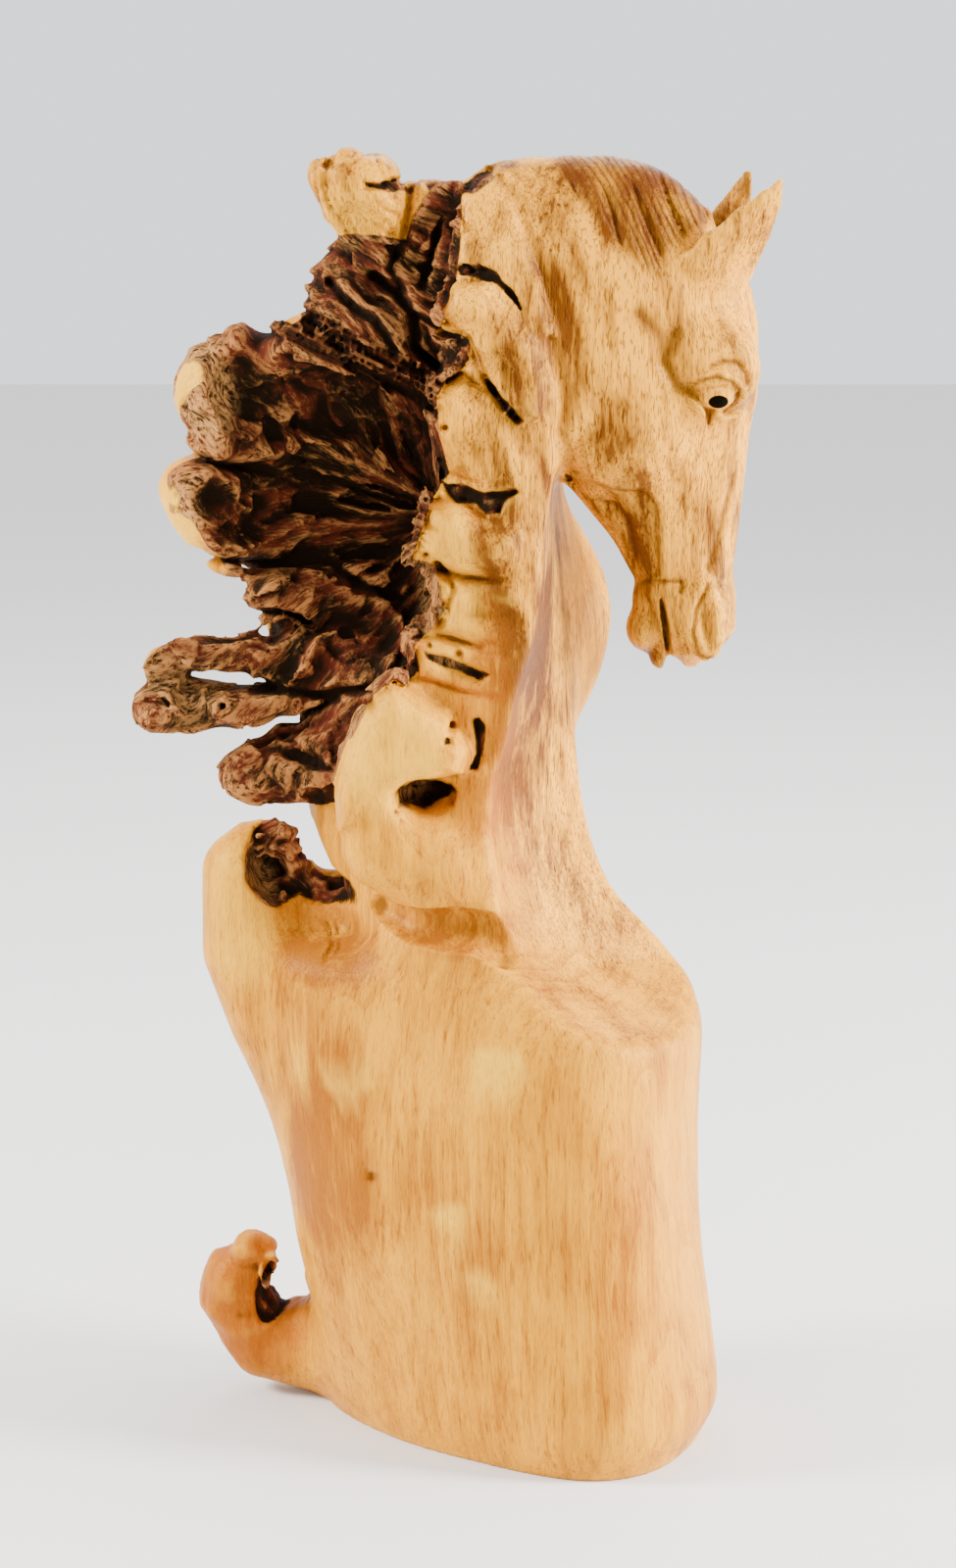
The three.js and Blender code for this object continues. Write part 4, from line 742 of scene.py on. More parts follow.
def ticks(runs):
    """Positions along an axis from runs of (from, to, step), to a whole number of blocks."""
    out = []
    for start, end, step in runs:
        out.extend(np.arange(start, end - 1e-9, step))
    step = out[-1] - out[-2]
    while len(out) % BLOCK != 1:
        out.append(out[-1] + step)
    return np.array(out)


def in_chunks(function, x, y, z, size=150000):
    """function(x, y, z) in parts, so that no array grows too large."""
    out = np.empty(x.shape)
    for start in range(0, len(x), size):
        part = slice(start, start + size)
        out[part] = function(x[part], y[part], z[part])
    return out


def corner_slice(c, shape):
    """The part of a grid that holds corner c, from 0 to 7, of every cell."""
    return tuple(slice(c >> axis & 1, n - 1 + (c >> axis & 1)) for axis, n in enumerate(shape))


def corner_of(cells, c):
    """The grid indices of corner c of some cells."""
    return tuple(index + (c >> axis & 1) for axis, index in enumerate(cells))


def sample_near_surface(field, axes):
    """The field on the grid. It is worked out where a block of cells may hold the surface, which is where
    the value at its middle is under 0.9 of its diagonal. Elsewhere that value stands for the whole block."""
    def each_cell(blocks):
        for axis in range(3):
            blocks = np.repeat(blocks, BLOCK, axis=axis)
        return blocks

    xs, ys, zs = axes
    middles = np.meshgrid(*[t[BLOCK // 2::BLOCK] for t in axes], indexing="ij")
    centre = in_chunks(field, *[m.ravel() for m in middles]).reshape(middles[0].shape)
    wide = [np.diff(t[::BLOCK]) for t in axes]
    diagonal = np.sqrt(wide[0][:, None, None] ** 2 + wide[1][None, :, None] ** 2 + wide[2] ** 2)
    values = np.ones([len(t) for t in axes], np.float32)
    values[:-1, :-1, :-1] = each_cell(centre.astype(np.float32))
    close = each_cell(np.abs(centre) < 0.9 * diagonal)
    needed = np.zeros(values.shape, bool)
    for c in range(8):
        needed[corner_slice(c, values.shape)] |= close
    found = np.nonzero(needed)
    values[found] = in_chunks(field, xs[found[0]], ys[found[1]], zs[found[2]])
    return values


def pinched_cells():
    """For each of the 256 ways that a cell's corners lie inside or outside, whether the inside or the
    outside corners fail to hang together along the cell's edges."""
    def split(mask):
        reached = mask & -mask
        for _ in range(7):
            for c in range(8):
                if reached >> c & 1:
                    for step in (1, 2, 4):
                        reached |= mask & (1 << (c ^ step))
        return reached != mask
    return np.array([0 < mask < 255 and (split(mask) or split(255 ^ mask)) for mask in range(256)])


def surface_net(values, axes):
    """A closed mesh of the zero surface: one vertex in each crossed cell, at the mean of its crossings,
    and two triangles over each crossed edge. Where a cell is pinched, its nearest outside corner is filled
    first."""
    shape = values.shape
    pinched = pinched_cells()
    most_rounds, just_inside = 40, -0.05
    for _ in range(most_rounds):
        inside = values < 0
        mask = np.zeros([n - 1 for n in shape], np.uint8)
        for c in range(8):
            mask |= inside[corner_slice(c, shape)].astype(np.uint8) << c
        bad = np.nonzero(pinched[mask])
        if len(bad[0]) == 0:
            break
        corners = [corner_of(bad, c) for c in range(8)]
        around = np.stack([values[corner] for corner in corners])
        nearest = np.where(around < 0, np.inf, around).argmin(axis=0)
        for c in range(8):
            chosen = nearest == c
            values[tuple(part[chosen] for part in corners[c])] = just_inside
    cells = np.nonzero((mask > 0) & (mask < 255))
    around = np.stack([values[corner_of(cells, c)] for c in range(8)])
    total = np.zeros((3, len(cells[0])))
    count = np.zeros(len(cells[0]))
    for c in range(8):
        for axis in range(3):
            if c >> axis & 1:
                continue
            a, b = around[c], around[c | 1 << axis]
            crossed = (a < 0) != (b < 0)
            share = np.where(crossed, a / np.where(crossed, a - b, 1.0), 0.0)
            for n in range(3):
                offset = share if n == axis else (c >> n & 1)
                total[n] += np.where(crossed, offset, 0.0)
            count += crossed
    vertices = np.stack([
        t[cell] + part / count * (t[cell + 1] - t[cell]) for t, cell, part in zip(axes, cells, total)
    ], axis=1)
    vertex_of = np.full([n - 1 for n in shape], -1, np.int32)
    vertex_of[cells] = np.arange(len(cells[0]))
    inside = values < 0
    triangles = []
    for axis in range(3):
        b, c = (axis + 1) % 3, (axis + 2) % 3
        low = [slice(1, n - 1) for n in shape]
        high = [slice(1, n - 1) for n in shape]
        high[axis] = slice(2, shape[axis])
        here, there = inside[tuple(low)], inside[tuple(high)]
        edge = np.nonzero(here != there)
        out = here[edge]
        at = [e + 1 for e in edge]

        def cell(back_b, back_c):
            index = list(at)
            index[b] = index[b] - back_b
            index[c] = index[c] - back_c
            return vertex_of[tuple(index)]

        quad = np.stack([cell(1, 1), cell(0, 1), cell(0, 0), cell(1, 0)], axis=1)
        quad = np.where(out[:, None], quad, quad[:, ::-1])
        triangles += [quad[:, [0, 1, 2]], quad[:, [0, 2, 3]]]
    return vertices, np.concatenate(triangles)


def largest_part(vertices, triangles):
    """The mesh without loose bits: each vertex takes the lowest label that it is joined to."""
    a = np.concatenate([triangles[:, 0], triangles[:, 1]])
    b = np.concatenate([triangles[:, 1], triangles[:, 2]])
    label = np.arange(len(vertices))
    while True:
        low = np.minimum(label[a], label[b])
        fresh = label.copy()
        np.minimum.at(fresh, a, low)
        np.minimum.at(fresh, b, low)
        fresh = fresh[fresh]
        if np.array_equal(fresh, label):
            break
        label = fresh
    names, sizes = np.unique(label, return_counts=True)
    keep = label == names[sizes.argmax()]
    fresh = np.cumsum(keep) - 1
    return vertices[keep], fresh[triangles[keep[triangles[:, 0]]]]


def settle(field, vertices, step):
    """Moves each vertex onto the surface, by p - f(p) grad f / |grad f|^2, and by no more than step."""
    x, y, z = vertices.T
    reach = 0.15
    f = in_chunks(field, x, y, z)
    slope = np.stack([
        in_chunks(field, x + reach, y, z) - f,
        in_chunks(field, x, y + reach, z) - f,
        in_chunks(field, x, y, z + reach) - f,
    ], axis=1) / reach
    move = -f[:, None] * slope / np.maximum((slope ** 2).sum(axis=1), 0.2)[:, None]
    length = np.linalg.norm(move, axis=1)
    return vertices + move * np.minimum(1.0, step / np.maximum(length, 1e-9))[:, None]


def mesh_from(name, vertices, triangles):
    """A Blender mesh from whole arrays of points and triangles."""
    mesh = bpy.data.meshes.new(name)
    mesh.vertices.add(len(vertices))
    mesh.vertices.foreach_set("co", np.asarray(vertices, np.float32).ravel())
    mesh.loops.add(3 * len(triangles))
    mesh.loops.foreach_set("vertex_index", np.asarray(triangles, np.int32).ravel())
    mesh.polygons.add(len(triangles))
    mesh.polygons.foreach_set("loop_start", np.arange(0, 3 * len(triangles), 3, dtype=np.int32))
    mesh.update(calc_edges=True)
    mesh.validate()
    return mesh


def arrays_of(mesh):
    """The points and triangles of a Blender mesh, as arrays."""
    vertices = np.empty(3 * len(mesh.vertices), np.float32)
    mesh.vertices.foreach_get("co", vertices)
    loops = np.empty(len(mesh.loops), np.int32)
    mesh.loops.foreach_get("vertex_index", loops)
    return vertices.reshape(-1, 3).astype(float), loops.reshape(-1, 3)


def thinned(mesh, wanted):
    """The mesh with at most the wanted number of triangles, through the Decimate modifier."""
    if len(mesh.polygons) <= wanted:
        return mesh
    helper = bpy.data.objects.new("thinning", mesh)
    bpy.context.scene.collection.objects.link(helper)
    modifier = helper.modifiers.new("Decimate", "DECIMATE")
    modifier.ratio = wanted / len(mesh.polygons)
    modifier.use_collapse_triangulate = True
    evaluated = helper.evaluated_get(bpy.context.evaluated_depsgraph_get())
    fresh = bpy.data.meshes.new_from_object(evaluated)
    bpy.data.objects.remove(helper)
    bpy.data.meshes.remove(mesh)
    return fresh


def crease(vertices, triangles, rounds):
    """How hollow the surface is at each vertex, in millimetres: the distance along the normal to the mean
    of its surroundings, which grow with the number of rounds. Edges that stand proud come out negative."""
    def gather(at, rows):
        return np.stack([np.bincount(at, rows[:, n], minlength=len(vertices)) for n in range(3)], axis=1)

    a, b = triangles.T.ravel(), np.roll(triangles, -1, axis=1).T.ravel()
    degree = np.bincount(a, minlength=len(vertices))[:, None]
    smooth = vertices.copy()
    for _ in range(rounds):
        around = (gather(a, smooth[b]) + gather(b, smooth[a])) / np.maximum(2 * degree, 1)
        smooth = 0.5 * smooth + 0.5 * around
    corners = vertices[triangles]
    normal = np.cross(corners[:, 1] - corners[:, 0], corners[:, 2] - corners[:, 0])
    normal = gather(a, np.concatenate([normal] * 3))
    normal /= np.maximum(np.linalg.norm(normal, axis=1), 1e-9)[:, None]
    return ((smooth - vertices) * normal).sum(axis=1)


# Patches of colour in the side view. Each row is strength, centre x and z, half sizes and turn.
# Darker patches, partly the wood's own tone and partly painted shade: the shade under the loop, in the flute
# down the trunk, at the foot of the stub and in the dips of the lumps
SHADE_AND_TONES = [
    (0.9, -36, 92, 17, 48, 0), (0.9, -38, 158, 18, 14, 0), (0.7, 2, 168, 26, 10, 0),
    (0.25, 52, 70, 9, 60, 0), (0.4, 30, 350, 10, 40, 10), (0.6, 48, 318, 8, 22, 24),
    (0.4, 15, 336, 9, 13, 0), (0.4, 9, 312, 9, 9, 0), (0.4, 6, 262, 11, 9, 0), (0.9, 24, 240, 18, 80, -6),
]
# Painted shade along the jaw's hollow, and the darker wood of the mane's crest
HEAD_SHADE_AND_TONES = [(0.5, 58, 282, 6, 22, 0), (0.7, 50, 386, 34, 18, 12)]
# Sapwood: pale yellow outer edges of the lobes, the knob at the top, the stub and the fingers
SAPWOOD = [
    (1, -76, 330, 12, 26, -12), (1, -84, 285, 10, 18, 0), (0.4, -30, 380, 9, 12, 0),
    (0.6, -66, 165, 14, 26, 0), (0.5, -84, 236, 16, 14, 0), (0.6, 0, 270, 12, 30, 0),
]
# Pale marks with a clear edge on the near face of the trunk
PALE_MARKS = [
    (1, 9, 60, 7, 9, 0), (1, 0.5, 80, 5, 8, 0), (1, 15, 129, 10, 8, 0), (1, -51, 122, 6, 11, -30),
    (1, -32, 120, 9, 7, 0),
]
# Orange-brown: the curled knob at the foot, the broken ledge, and streaks beside the bowl and the loop
RUSSET = [
    (1, -66, 30, 26, 30, 0), (0.8, -5, 258, 8, 9, 30), (0.6, -42, 168, 16, 8, 0), (0.5, 8, 205, 10, 12, 0),
]


def blobs(x, z, rows):
    """The strongest of several blobs."""
    return np.maximum.reduce([row[0] * blob(x, z, row[1:3], row[3:5], row[5]) for row in rows])


def surface_marks(x, y, z):
    """Named shares from 0 to 1 over the wood's surface, for its colours, painted shade among them."""
    bark, cleft = bark_at(x, y, z)
    wander = 6 * noise(x, y, z, 12, 22)
    near_face = smoothstep(-y, 10, 24)
    # darker patches: painted shade in the hollows and under the loop, with some darker tone of the wood
    tone_and_shade = np.maximum(blobs(x + wander, z, SHADE_AND_TONES), blobs(x, z, HEAD_SHADE_AND_TONES)) * smoothstep(-y, 2, 12)
    # heartwood: the neck and head are browner than the trunk
    neck = smoothstep(x + 0.15 * (z - 200) + wander, 14, 30) * smoothstep(z + wander, 120, 175)
    neck *= 1 - smoothstep(y, 6, 14) * (1 - smoothstep(z, 294, 306)) * (1 - smoothstep(x, 44, 50))
    tan = np.maximum(neck, 0.7 * smoothstep(z + wander, 368, 374) * (1 - smoothstep(x, -4, 2)))
    marked = smoothstep(blobs(x + wander * 0.3, z, PALE_MARKS), 0.15, 0.5)
    loop = blob(x, z, [-18, 222], [18, 22])
    pale = np.maximum(blobs(x, z, SAPWOOD), np.maximum(0.9 * marked, 0.8 * loop) * near_face)
    russet = blobs(x, z, RUSSET)
    # orange-brown along the lumps' edges, partly the wood's colour and partly painted shade in the creases
    # there
    for outline, _ in LUMPS:
        edge = np.exp(-((outline_depth(x, z, outline) + 0.5) / 1.5) ** 2) * smoothstep(-y, 22, 27)
        russet = np.maximum(russet, 0.8 * edge)
    # painted shade in the cracks and the lines that the tools cut, and the darker hair of the mane
    line_shade = np.zeros(x.shape)
    near = np.nonzero(y < 12)[0]
    for points, width, depth, behind in CRACKS:
        far = line_distance(x[near], z[near], points) / width
        share = np.exp(-far ** 2) * smoothstep(behind - y[near], 0, 5) * min(1.0, depth / 3)
        line_shade[near] = np.maximum(line_shade[near], share)
    side = smoothstep(np.abs(y - HEAD_MIDDLE), 3, 7)
    for points, width, depth in FACE_LINES:
        if depth > 0:
            far = line_distance(x, z, points) / width
            line_shade = np.maximum(line_shade, min(1.0, 1.3 * depth) * np.exp(-far ** 2) * side)
    line_shade = np.maximum(line_shade, smoothstep(outline_depth(x, z, TEAR), -0.6, 0.8) * side)
    mane = smoothstep(outline_depth(x, z, MANE_OUTLINE), -1, 3)
    panel = smoothstep(outline_depth(x, z, JAW_PANEL), 0, 1) * side
    return {"bark": np.maximum(bark, cleft), "tan": tan, "pale": pale, "russet": russet * (1 - tan),
            "line_shade": line_shade, "mane": mane, "panel": panel, "tone_and_shade": tone_and_shade}


# Materials

def linear(hex_colour):
    """An sRGB colour such as "C98F52" as linear red, green, blue and alpha."""
    parts = [int(hex_colour[i:i + 2], 16) / 255 for i in (0, 2, 4)]
    return tuple([p / 12.92 if p <= 0.04045 else ((p + 0.055) / 1.055) ** 2.4 for p in parts] + [1.0])


class Value:
    """A number in a material. Sums of such numbers are nodes of the same tree."""

    def __init__(self, nodes, socket):
        self.nodes, self.socket = nodes, socket

    def __add__(self, other):
        return self.nodes.math("ADD", self, other)

    def __sub__(self, other):
        return self.nodes.math("SUBTRACT", self, other)

    def __rsub__(self, other):
        return self.nodes.math("SUBTRACT", other, self)

    def __mul__(self, other):
        return self.nodes.math("MULTIPLY", self, other)

    def __pow__(self, other):
        return self.nodes.math("POWER", self, other)

    def __neg__(self):
        return self * -1.0


class Nodes:
    """A material's node tree, with one way to add a node."""

    def __init__(self, name):
        self.material = bpy.data.materials.new(name)
        self.material.use_nodes = True
        self.tree = self.material.node_tree
        self.tree.nodes.clear()

    def add(self, kind, settings=None, **links):
        """Adds a node of this kind with its settings. Each link names an input, by i and its number or by
        name, and gives a number, a colour, a Value or another node's output."""
        node = self.tree.nodes.new(kind)
        for key, value in (settings or {}).items():
            setattr(node, key, value)
        for key, value in links.items():
            socket = node.inputs[int(key[1:]) if key[1:].isdigit() else key.replace("_", " ")]
            if isinstance(value, Value):
                value = value.socket
            elif isinstance(value, bpy.types.Node):
                value = value.outputs[0]
            if isinstance(value, bpy.types.NodeSocket):
                self.tree.links.new(value, socket)
            else:
                socket.default_value = value
        return node

    def math(self, operation, a, b=0.0, clamp=False):
        settings = {"operation": operation, "use_clamp": clamp}
        return Value(self, self.add("ShaderNodeMath", settings, i0=a, i1=b).outputs[0])

    def vector(self, operation, *values):
        links = {"i" + str(place): value for place, value in enumerate(values)}
        return self.add("ShaderNodeVectorMath", {"operation": operation}, **links)

    def mix(self, share, a, b):
        return self.add("ShaderNodeMix", {"data_type": "RGBA"}, i0=share, i6=a, i7=b).outputs[2]

    def steps(self, value, low, high):
        """0 below low and 1 above high."""
        settings = {"interpolation_type": "SMOOTHSTEP"}
        return Value(self, self.add("ShaderNodeMapRange", settings, i0=value, i1=low, i2=high).outputs[0])

    def attribute(self, name):
        return Value(self, self.add("ShaderNodeAttribute", {"attribute_name": name}).outputs["Fac"])

    def pattern(self, where, size, detail=2.0, rough=0.5, warp=0.0):
        """Noise whose grains are size millimetres along each axis."""
        place = self.add("ShaderNodeMapping", i0=where, i3=tuple(1000.0 / s for s in size))
        return Value(self, self.add("ShaderNodeTexNoise", Vector=place, Scale=1.0, Detail=detail,
                                    Roughness=rough, Distortion=warp).outputs[0])


def sanded_root_wood(finish, head_width):
    """Root wood, sanded and waxed to a satin, with raw bark and torn fibre left in its bowl and clefts.
    The wax gives soft highlights, the sanding shows growth rings and long streaks, and the raw fibre is
    dull and dark with paler edges. Shade is painted into the hollows and cut lines, and a highlight onto the
    raw fibre's proud edges."""
    n = Nodes("sanded_waxed_root_wood")
    paint = {name: linear(colour) for name, colour in COLOURS.items()}
    where = n.add("ShaderNodeTexCoord").outputs["Object"]
    bark, tan, pale, russet, line_shade, mane, panel, tone_and_shade, dip, deep = [n.attribute(name) for name in (
        "bark", "tan", "pale", "russet", "line_shade", "mane", "panel", "tone_and_shade", "dip", "deep")]
    fibre = n.add("ShaderNodeAttribute", {"attribute_name": "fibre"}).outputs["Vector"]
    # growth rings round an upright pith, drawn out of round by slow noise
    bend = n.add("ShaderNodeTexNoise", Vector=n.add("ShaderNodeMapping", i0=where, i3=(24, 24, 7)),
                 Scale=1.0, Detail=2.0)
    bent = n.vector("MULTIPLY_ADD", bend.outputs["Color"], (0.018, 0.018, 0.0), where)
    from_pith = n.vector("SUBTRACT", bent, (-0.006, 0.02, 0.0))
    level = n.vector("MULTIPLY", from_pith, (1.0, 1.0, 0.03))
    radius = Value(n, n.vector("LENGTH", level).outputs["Value"])
    late = n.math("FRACT", radius * (1000.0 / finish.ring_spacing)) ** 3.0
    # long fibre streaks, short brown dashes and dark pores between them
    streak = n.pattern(bent, (1.2, 1.2, 26.0), 4.0, 0.65)
    broad = n.pattern(bent, (7.0, 7.0, 90.0), 3.0, 0.6)
    cloud = n.pattern(where, (30.0, 30.0, 44.0), 3.0, 0.55)
    dash = n.steps(n.pattern(bent, (0.9, 0.9, 11.0), 2.0, 0.6), 0.56, 0.68)
    pores = n.steps(n.pattern(bent, (0.45, 0.45, 3.2), 1.0, 0.5), 0.54, 0.66)
    fine = n.pattern(where, (0.4, 0.4, 9.0), 2.0, 0.6)
    slant = n.add("ShaderNodeMapping", i0=where, i2=(0.0, math.radians(16), 0.0))
    bands = (n.pattern(slant, (9.0, 9.0, 52.0), 3.0, 0.6) - 0.5) * tan
    # sanded wood: gold on the trunk, browner on the neck and head
    # tone_and_shade darkens the wood with painted shade in the hollows and under the loop
    shade = late * 0.22 + streak * 1.2 + broad * 1.5 + cloud * 1.6 + bands * 2.7 + tone_and_shade * 0.7 - 1.92
    shade = n.math("ADD", shade, dash * 0.42, clamp=True)
    gold = n.mix(shade, paint["gold"], paint["streak"])
    brown = n.mix(shade, paint["tan"], paint["brown"])
    wood = n.mix(tan, gold, brown)
    wood = n.mix(russet * 0.8, wood, paint["russet"])
    wood = n.mix(pale * (shade * -0.4 + 0.95), wood, paint["sapwood"])
    # hair of the mane: fine dark lines along the cut locks, over browner wood
    along = Value(n, n.vector("DOT_PRODUCT", bent, (913.0, 0.0, 406.0)).outputs["Value"])
    wave = n.math("SINE", along * (math.pi / finish.hair_pitch) + cloud * 9.0)
    hair = 1.0 - n.math("ABSOLUTE", wave) ** 0.7
    wood = n.mix(mane * (hair * 0.4 + 0.55), wood, paint["mane"])
    wood = n.mix(pores * (tan * 0.45 + 0.12), wood, paint["pore"])
    # painted shade in the hollows, cut lines and the jaw's panel, and edges that stand proud are paler
    shaded = n.math("MAXIMUM", n.steps(dip, 0.05, 0.6), n.math("MAXIMUM", line_shade, panel * 0.25))
    wood = n.mix(shaded * 0.8, wood, paint["crevice_shade"])
    wood = n.mix(n.steps(-dip, 0.1, 0.8) * 0.4, wood, paint["sapwood"])
    # raw fibre: red-brown and near-black bark, streaked along the fibre, with painted shade near black in
    # the hollows and cracks and a painted highlight in tan on the proud edges
    grit = n.pattern(fibre, (0.8, 6.0, 0.8), 6.0, 0.75, 0.05)
    patch = n.pattern(fibre, (7.0, 26.0, 7.0), 5.0, 0.65, 0.2)
    raw = n.mix(n.steps(patch, 0.42, 0.58), paint["black_bark_and_shade"], paint["bark_red"])
    raw = n.mix(n.steps(grit, 0.5, 0.7) * 0.45, raw, paint["bark_tan_and_highlight"])
    # painted shade: the bowl's deep hollows and the cracks turn near black
    raw = n.mix(n.steps(deep, -0.3, 0.8), raw, paint["black_bark_and_shade"])
    raw = n.mix(line_shade, raw, paint["black_bark_and_shade"])
    # painted highlight: the proud edges of the raw fibre turn tan
    raw = n.mix(n.steps(-deep, 0.1, 1.3) * n.steps(grit, 0.4, 0.56), raw, paint["bark_tan_and_highlight"])
    raw = n.mix(pale * n.steps(grit, 0.4, 0.6), raw, paint["bark_pale"])
    raw_share = n.steps((grit - 0.5) * 1.1 + bark, 0.32, 0.56)
    colour = n.mix(raw_share, wood, raw)
    # the painted pupils
    discs = []
    for side in (-1, 1):
        centre = (79.8 * MM, (HEAD_MIDDLE + side * (head_width / 2 + 1.0)) * MM, 326.0 * MM)
        flat = n.vector("MULTIPLY", n.vector("SUBTRACT", where, centre), (1.0, 0.3, 1.5))
        far = Value(n, n.vector("LENGTH", flat).outputs["Value"])
        discs.append(n.steps(far, (finish.pupil + 0.2) * MM, (finish.pupil - 0.2) * MM))
    eye = n.math("MAXIMUM", *discs)
    colour = n.mix(eye, colour, paint["pupil"])
    # satin where it is sanded, dull where it is raw, glossy on the pupils
    satin = streak * 0.14 + (finish.satin - 0.07)
    rough = (0.82 - satin) * raw_share + satin
    rough = (0.25 - rough) * eye + rough
    grain_height = streak * 0.5 + fine * 0.4 - pores * 0.7 - hair * mane * 2.0
    raw_height = grit * 7.0 + patch * 4.0
    height = (raw_height - grain_height) * raw_share + grain_height
    bump = n.add("ShaderNodeBump", Strength=0.7, Distance=0.0002, Height=height)
    shader = n.add("ShaderNodeBsdfPrincipled", Base_Color=colour, Roughness=rough, Normal=bump,
                   Specular_IOR_Level=eye * -0.15 + 0.2)
    shader.inputs["Specular Tint"].default_value = linear("FFCC80")
    shader.inputs["IOR"].default_value = 1.42
    n.add("ShaderNodeOutputMaterial", Surface=shader)
    return n.material


COLOURS = {
    "gold": "DE960C",  # pale golden wood between the streaks
    "streak": "9A5604",  # darker streaks and rings in the golden wood
    "tan": "ECA022",  # browner wood of the neck and head
    "brown": "64340A",  # streaks and rings in the browner wood
    "sapwood": "EEB028",  # pale outer wood and worn edges
    "russet": "A04E0A",  # orange-brown wood of the curled knob
    "mane": "562608",  # hair lines of the mane
    "pore": "421804",  # pores
    # painted shade in the fine hollows and cut lines of the sanded wood
    "crevice_shade": "461C06",  # fine hollows of the sanded wood
    # near-black bark, and painted shade in the hollows and cracks of the raw wood
    "black_bark_and_shade": "120A07",  # hollows of the raw bark
    "bark_red": "521E14",  # raw bark and torn fibre
    "bark_pale": "C28A4E",  # weathered ends of the torn fibre
    # tan flecks of the torn fibre, and painted highlight on its proud edges
    "bark_tan_and_highlight": "B0743E",  # edges of the torn fibre
    "pupil": "020202",  # pupils
}


def size(name, description, default):
    """A number in a property group."""
    return bpy.props.FloatProperty(name=name, description=description, default=default)


class HORSE_PG_sizes(bpy.types.PropertyGroup):
    """Sizes of the carving, in millimetres as drawn for a figure 400 mm tall."""
    head_width: size("Head width", "Across the cheeks", 44)
    muzzle_width: size("Muzzle width", "Across the nostrils", 29)
    trunk_depth: size("Trunk depth", "Near to far side", 96)
    eye_radius: size("Eye radius", "The eyeball", 6.4)
    mouth_gap: size("Mouth gap", "Between the lips", 2.6)
    ear_thickness: size("Ear thickness", "Through an ear", 7)
    mane_groove: size("Mane groove", "Depth of the cut locks", 1.5)
    mane_pitch: size("Mane pitch", "Lock to lock", 8.5)
    bark_relief: size("Bark relief", "Height of torn fibre", 4.0)
    fine_step: size("Fine step", "Mesh step on head and root", 0.9)
    trunk_step: size("Trunk step", "Mesh step on the trunk", 2.0)
    triangles: bpy.props.IntProperty(name="Triangles", description="Faces kept at most", default=198000)


class HORSE_PG_finish(bpy.types.PropertyGroup):
    """Finish of the wood, with its lengths in millimetres."""
    ring_spacing: size("Ring spacing", "Growth ring to ring", 3.4)
    satin: size("Satin", "Roughness of the waxed wood", 0.4)
    pupil: size("Pupil radius", "The painted pupil", 3.0)
    hair_pitch: size("Hair pitch", "Hair line to hair line", 2.2)


class HORSE_OT_carving(bpy.types.Operator):
    """Builds the carved horse and its wood, in place of the CAD solid"""
    bl_idname = "horse.carving"
    bl_label = "Carve the horse"

    def execute(self, context):
        sizes = context.scene.horse_sizes
        unit = (CAD_HIGH[2] - CAD_LOW[2]) / DRAWN_HEIGHT
        s = Sculpture()
        shape_trunk(s, sizes.trunk_depth)
        shape_root(s)
        shape_neck(s)
        shape_rim(s)
        shape_head(s, sizes.head_width, sizes.muzzle_width)
        shape_face(s, sizes.head_width, sizes.muzzle_width, sizes.eye_radius, sizes.mouth_gap)
        shape_ears(s, sizes.ear_thickness)

        def field(x, y, z):
            d = s.distance(x, y, z)
            near = np.nonzero(np.abs(d) < RELIEF_REACH)[0]
            d[near] += relief(x[near], y[near], z[near], sizes)
            return np.maximum(d, -z)

        coarser = 1.0
        fine, rough = sizes.fine_step * coarser, sizes.trunk_step * coarser
        axes = [
            ticks([(-106, 104, fine)]),
            ticks([(-68, 62, fine)]),
            ticks([(-2 * rough, TRUNK_TOP, rough), (TRUNK_TOP, 408, fine)]),
        ]
        vertices, triangles = largest_part(*surface_net(sample_near_surface(field, axes), axes))
        vertices = settle(field, vertices, 0.45 * fine)
        mesh = thinned(mesh_from("horse_surface", vertices, triangles), sizes.triangles)
        vertices, triangles = arrays_of(mesh)
        placed = np.clip(vertices * unit, CAD_LOW, CAD_HIGH)
        mesh.vertices.foreach_set("co", placed.astype(np.float32).ravel())
        marks = surface_marks(*vertices.T)
        # how hollow the surface is, near and wide: the material paints shade into the hollows and a
        # highlight onto the raw wood's proud edges from these
        marks["dip"] = np.clip(crease(vertices, triangles, 6), -2, 2)
        marks["deep"] = np.clip(crease(vertices, triangles, 40), -4, 4)
        for name, share in marks.items():
            layer = mesh.attributes.new(name, "FLOAT", "POINT")
            layer.data.foreach_set("value", share.astype(np.float32))
        layer = mesh.attributes.new("fibre", "FLOAT_VECTOR", "POINT")
        fibre = np.stack(fibre_frame(*vertices.T), axis=1) * MM
        layer.data.foreach_set("vector", fibre.astype(np.float32).ravel())
        mesh.polygons.foreach_set("use_smooth", np.ones(len(triangles), bool))
        mesh.update()
        mesh.materials.append(sanded_root_wood(context.scene.horse_finish, sizes.head_width))
        carving = bpy.data.objects.new("carved_horse", mesh)
        context.scene.collection.objects.link(carving)
        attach(carving, "root")
        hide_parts(NODE)
        return {"FINISHED"}


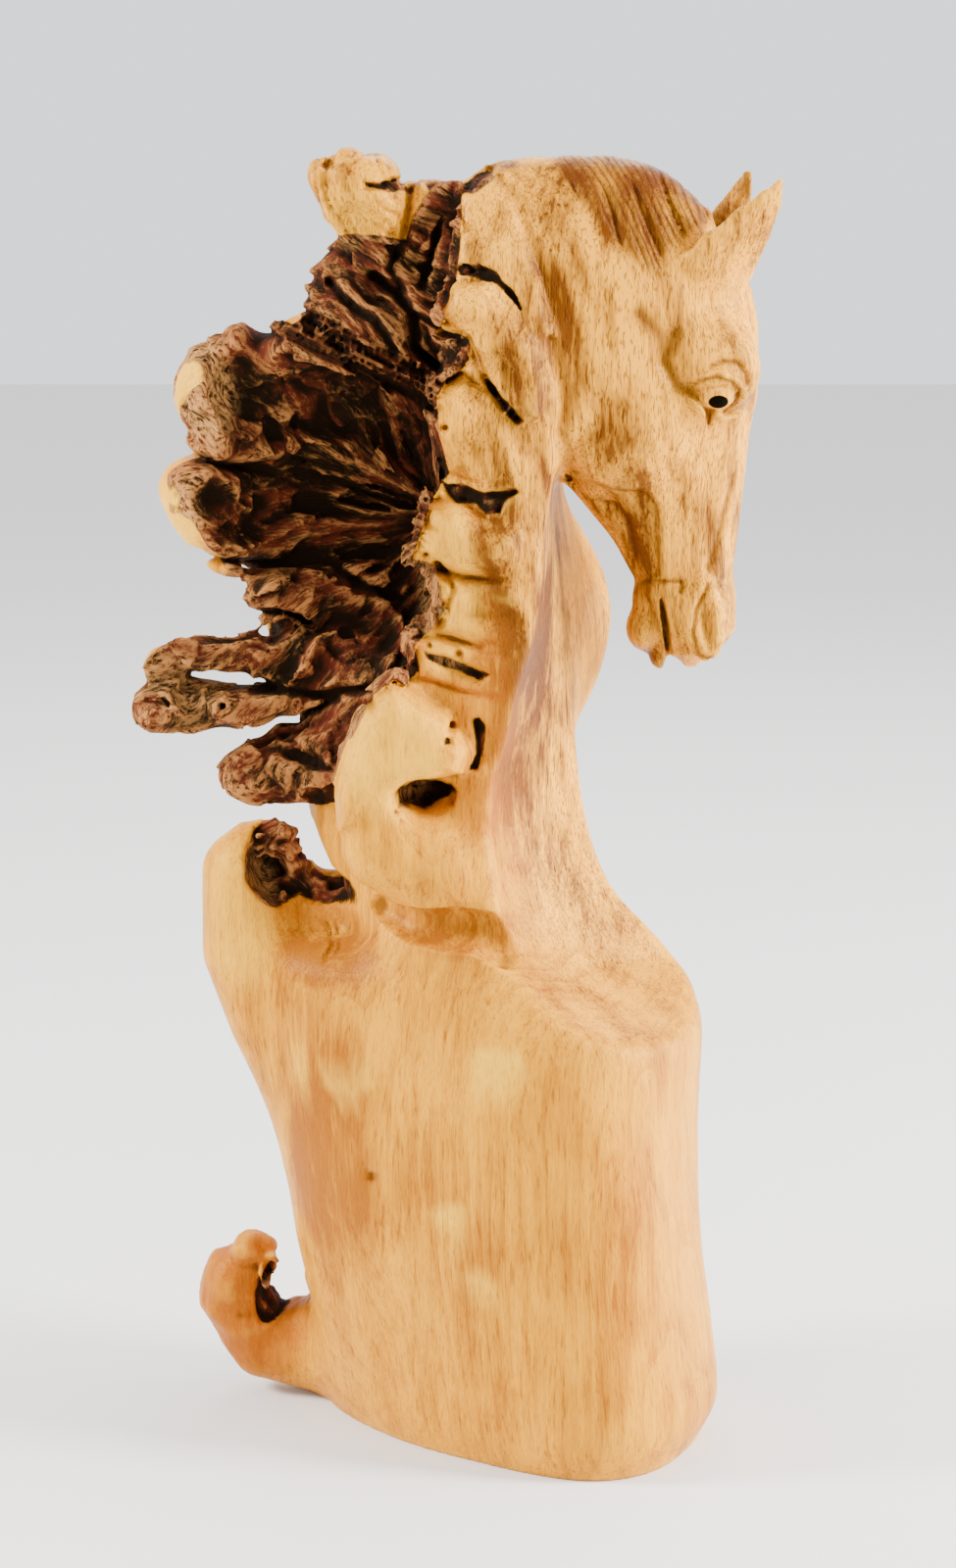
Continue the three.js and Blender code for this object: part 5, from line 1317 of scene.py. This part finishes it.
class HORSE_OT_stage(bpy.types.Operator):
    """Lays the floor, sets the lights and places the camera at the photograph's view"""
    bl_idname = "horse.stage"
    bl_label = "Set the stage"

    def execute(self, context):
        scene = context.scene
        floor_mesh = mesh_from("floor_surface", np.array([
            [-4, -4, 0], [4, -4, 0], [4, 4, 0], [-4, 4, 0]], float), np.array([[0, 1, 2], [0, 2, 3]]))
        floor = bpy.data.objects.new("studio_floor", floor_mesh)
        scene.collection.objects.link(floor)
        n = Nodes("matt_pale_paper")
        shader = n.add("ShaderNodeBsdfPrincipled", Base_Color=linear("E4E2DE"), Roughness=0.8)
        n.add("ShaderNodeOutputMaterial", Surface=shader.outputs[0])
        floor_mesh.materials.append(n.material)
        world = bpy.data.worlds.new("pale_studio")
        world.use_nodes = True
        background = world.node_tree.nodes["Background"]
        background.inputs["Color"].default_value = linear("E6E8EC")
        background.inputs["Strength"].default_value = 1.9
        scene.world = world
        aim = Vector((0.0, 0.0, 0.22))
        for name, place, size, power in (
            ("right_light", (1.3, -0.35, 0.85), 0.35, 60.0),
            ("low_right_light", (1.2, 0.12, 0.3), 0.4, 20.0),
            ("left_light", (-1.2, -0.2, 0.9), 0.35, 40.0),
            ("back_light", (0.2, 1.2, 1.1), 0.8, 8.0),
        ):
            lamp = bpy.data.lights.new(name, "AREA")
            lamp.energy = power
            lamp.size = size
            light = bpy.data.objects.new(name, lamp)
            light.location = place
            light.rotation_euler = (aim - Vector(place)).to_track_quat("-Z", "Y").to_euler()
            scene.collection.objects.link(light)
        camera_data = bpy.data.cameras.new("photo_camera")
        camera_data.lens = 83.18
        camera = bpy.data.objects.new("photo_camera", camera_data)
        camera.location = (0.0085, -1.1, 0.41981)
        camera.rotation_euler = (math.radians(79), 0.0, 0.0)
        scene.collection.objects.link(camera)
        scene.camera = camera
        return {"FINISHED"}


class HORSE_PT_panel(bpy.types.Panel):
    """Lists the sizes and the two steps"""
    bl_idname = "HORSE_PT_panel"
    bl_label = "Carved horse"
    bl_space_type = "VIEW_3D"
    bl_region_type = "UI"
    bl_category = "Horse"

    def draw(self, context):
        for group in (context.scene.horse_sizes, context.scene.horse_finish):
            for name in group.bl_rna.properties.keys():
                if name not in ("rna_type", "name"):
                    self.layout.prop(group, name)
        for operator in (HORSE_OT_carving, HORSE_OT_stage):
            self.layout.operator(operator.bl_idname)


CLASSES = (HORSE_PG_sizes, HORSE_PG_finish, HORSE_OT_carving, HORSE_OT_stage, HORSE_PT_panel)


def register():
    for cls in CLASSES:
        bpy.utils.register_class(cls)
    bpy.types.Scene.horse_sizes = bpy.props.PointerProperty(type=HORSE_PG_sizes)
    bpy.types.Scene.horse_finish = bpy.props.PointerProperty(type=HORSE_PG_finish)


def unregister():
    del bpy.types.Scene.horse_finish
    del bpy.types.Scene.horse_sizes
    for cls in reversed(CLASSES):
        bpy.utils.unregister_class(cls)


def main():
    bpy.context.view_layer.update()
    register()
    bpy.ops.horse.stage()
    bpy.ops.horse.carving()


if __name__ == "__main__":
    main()
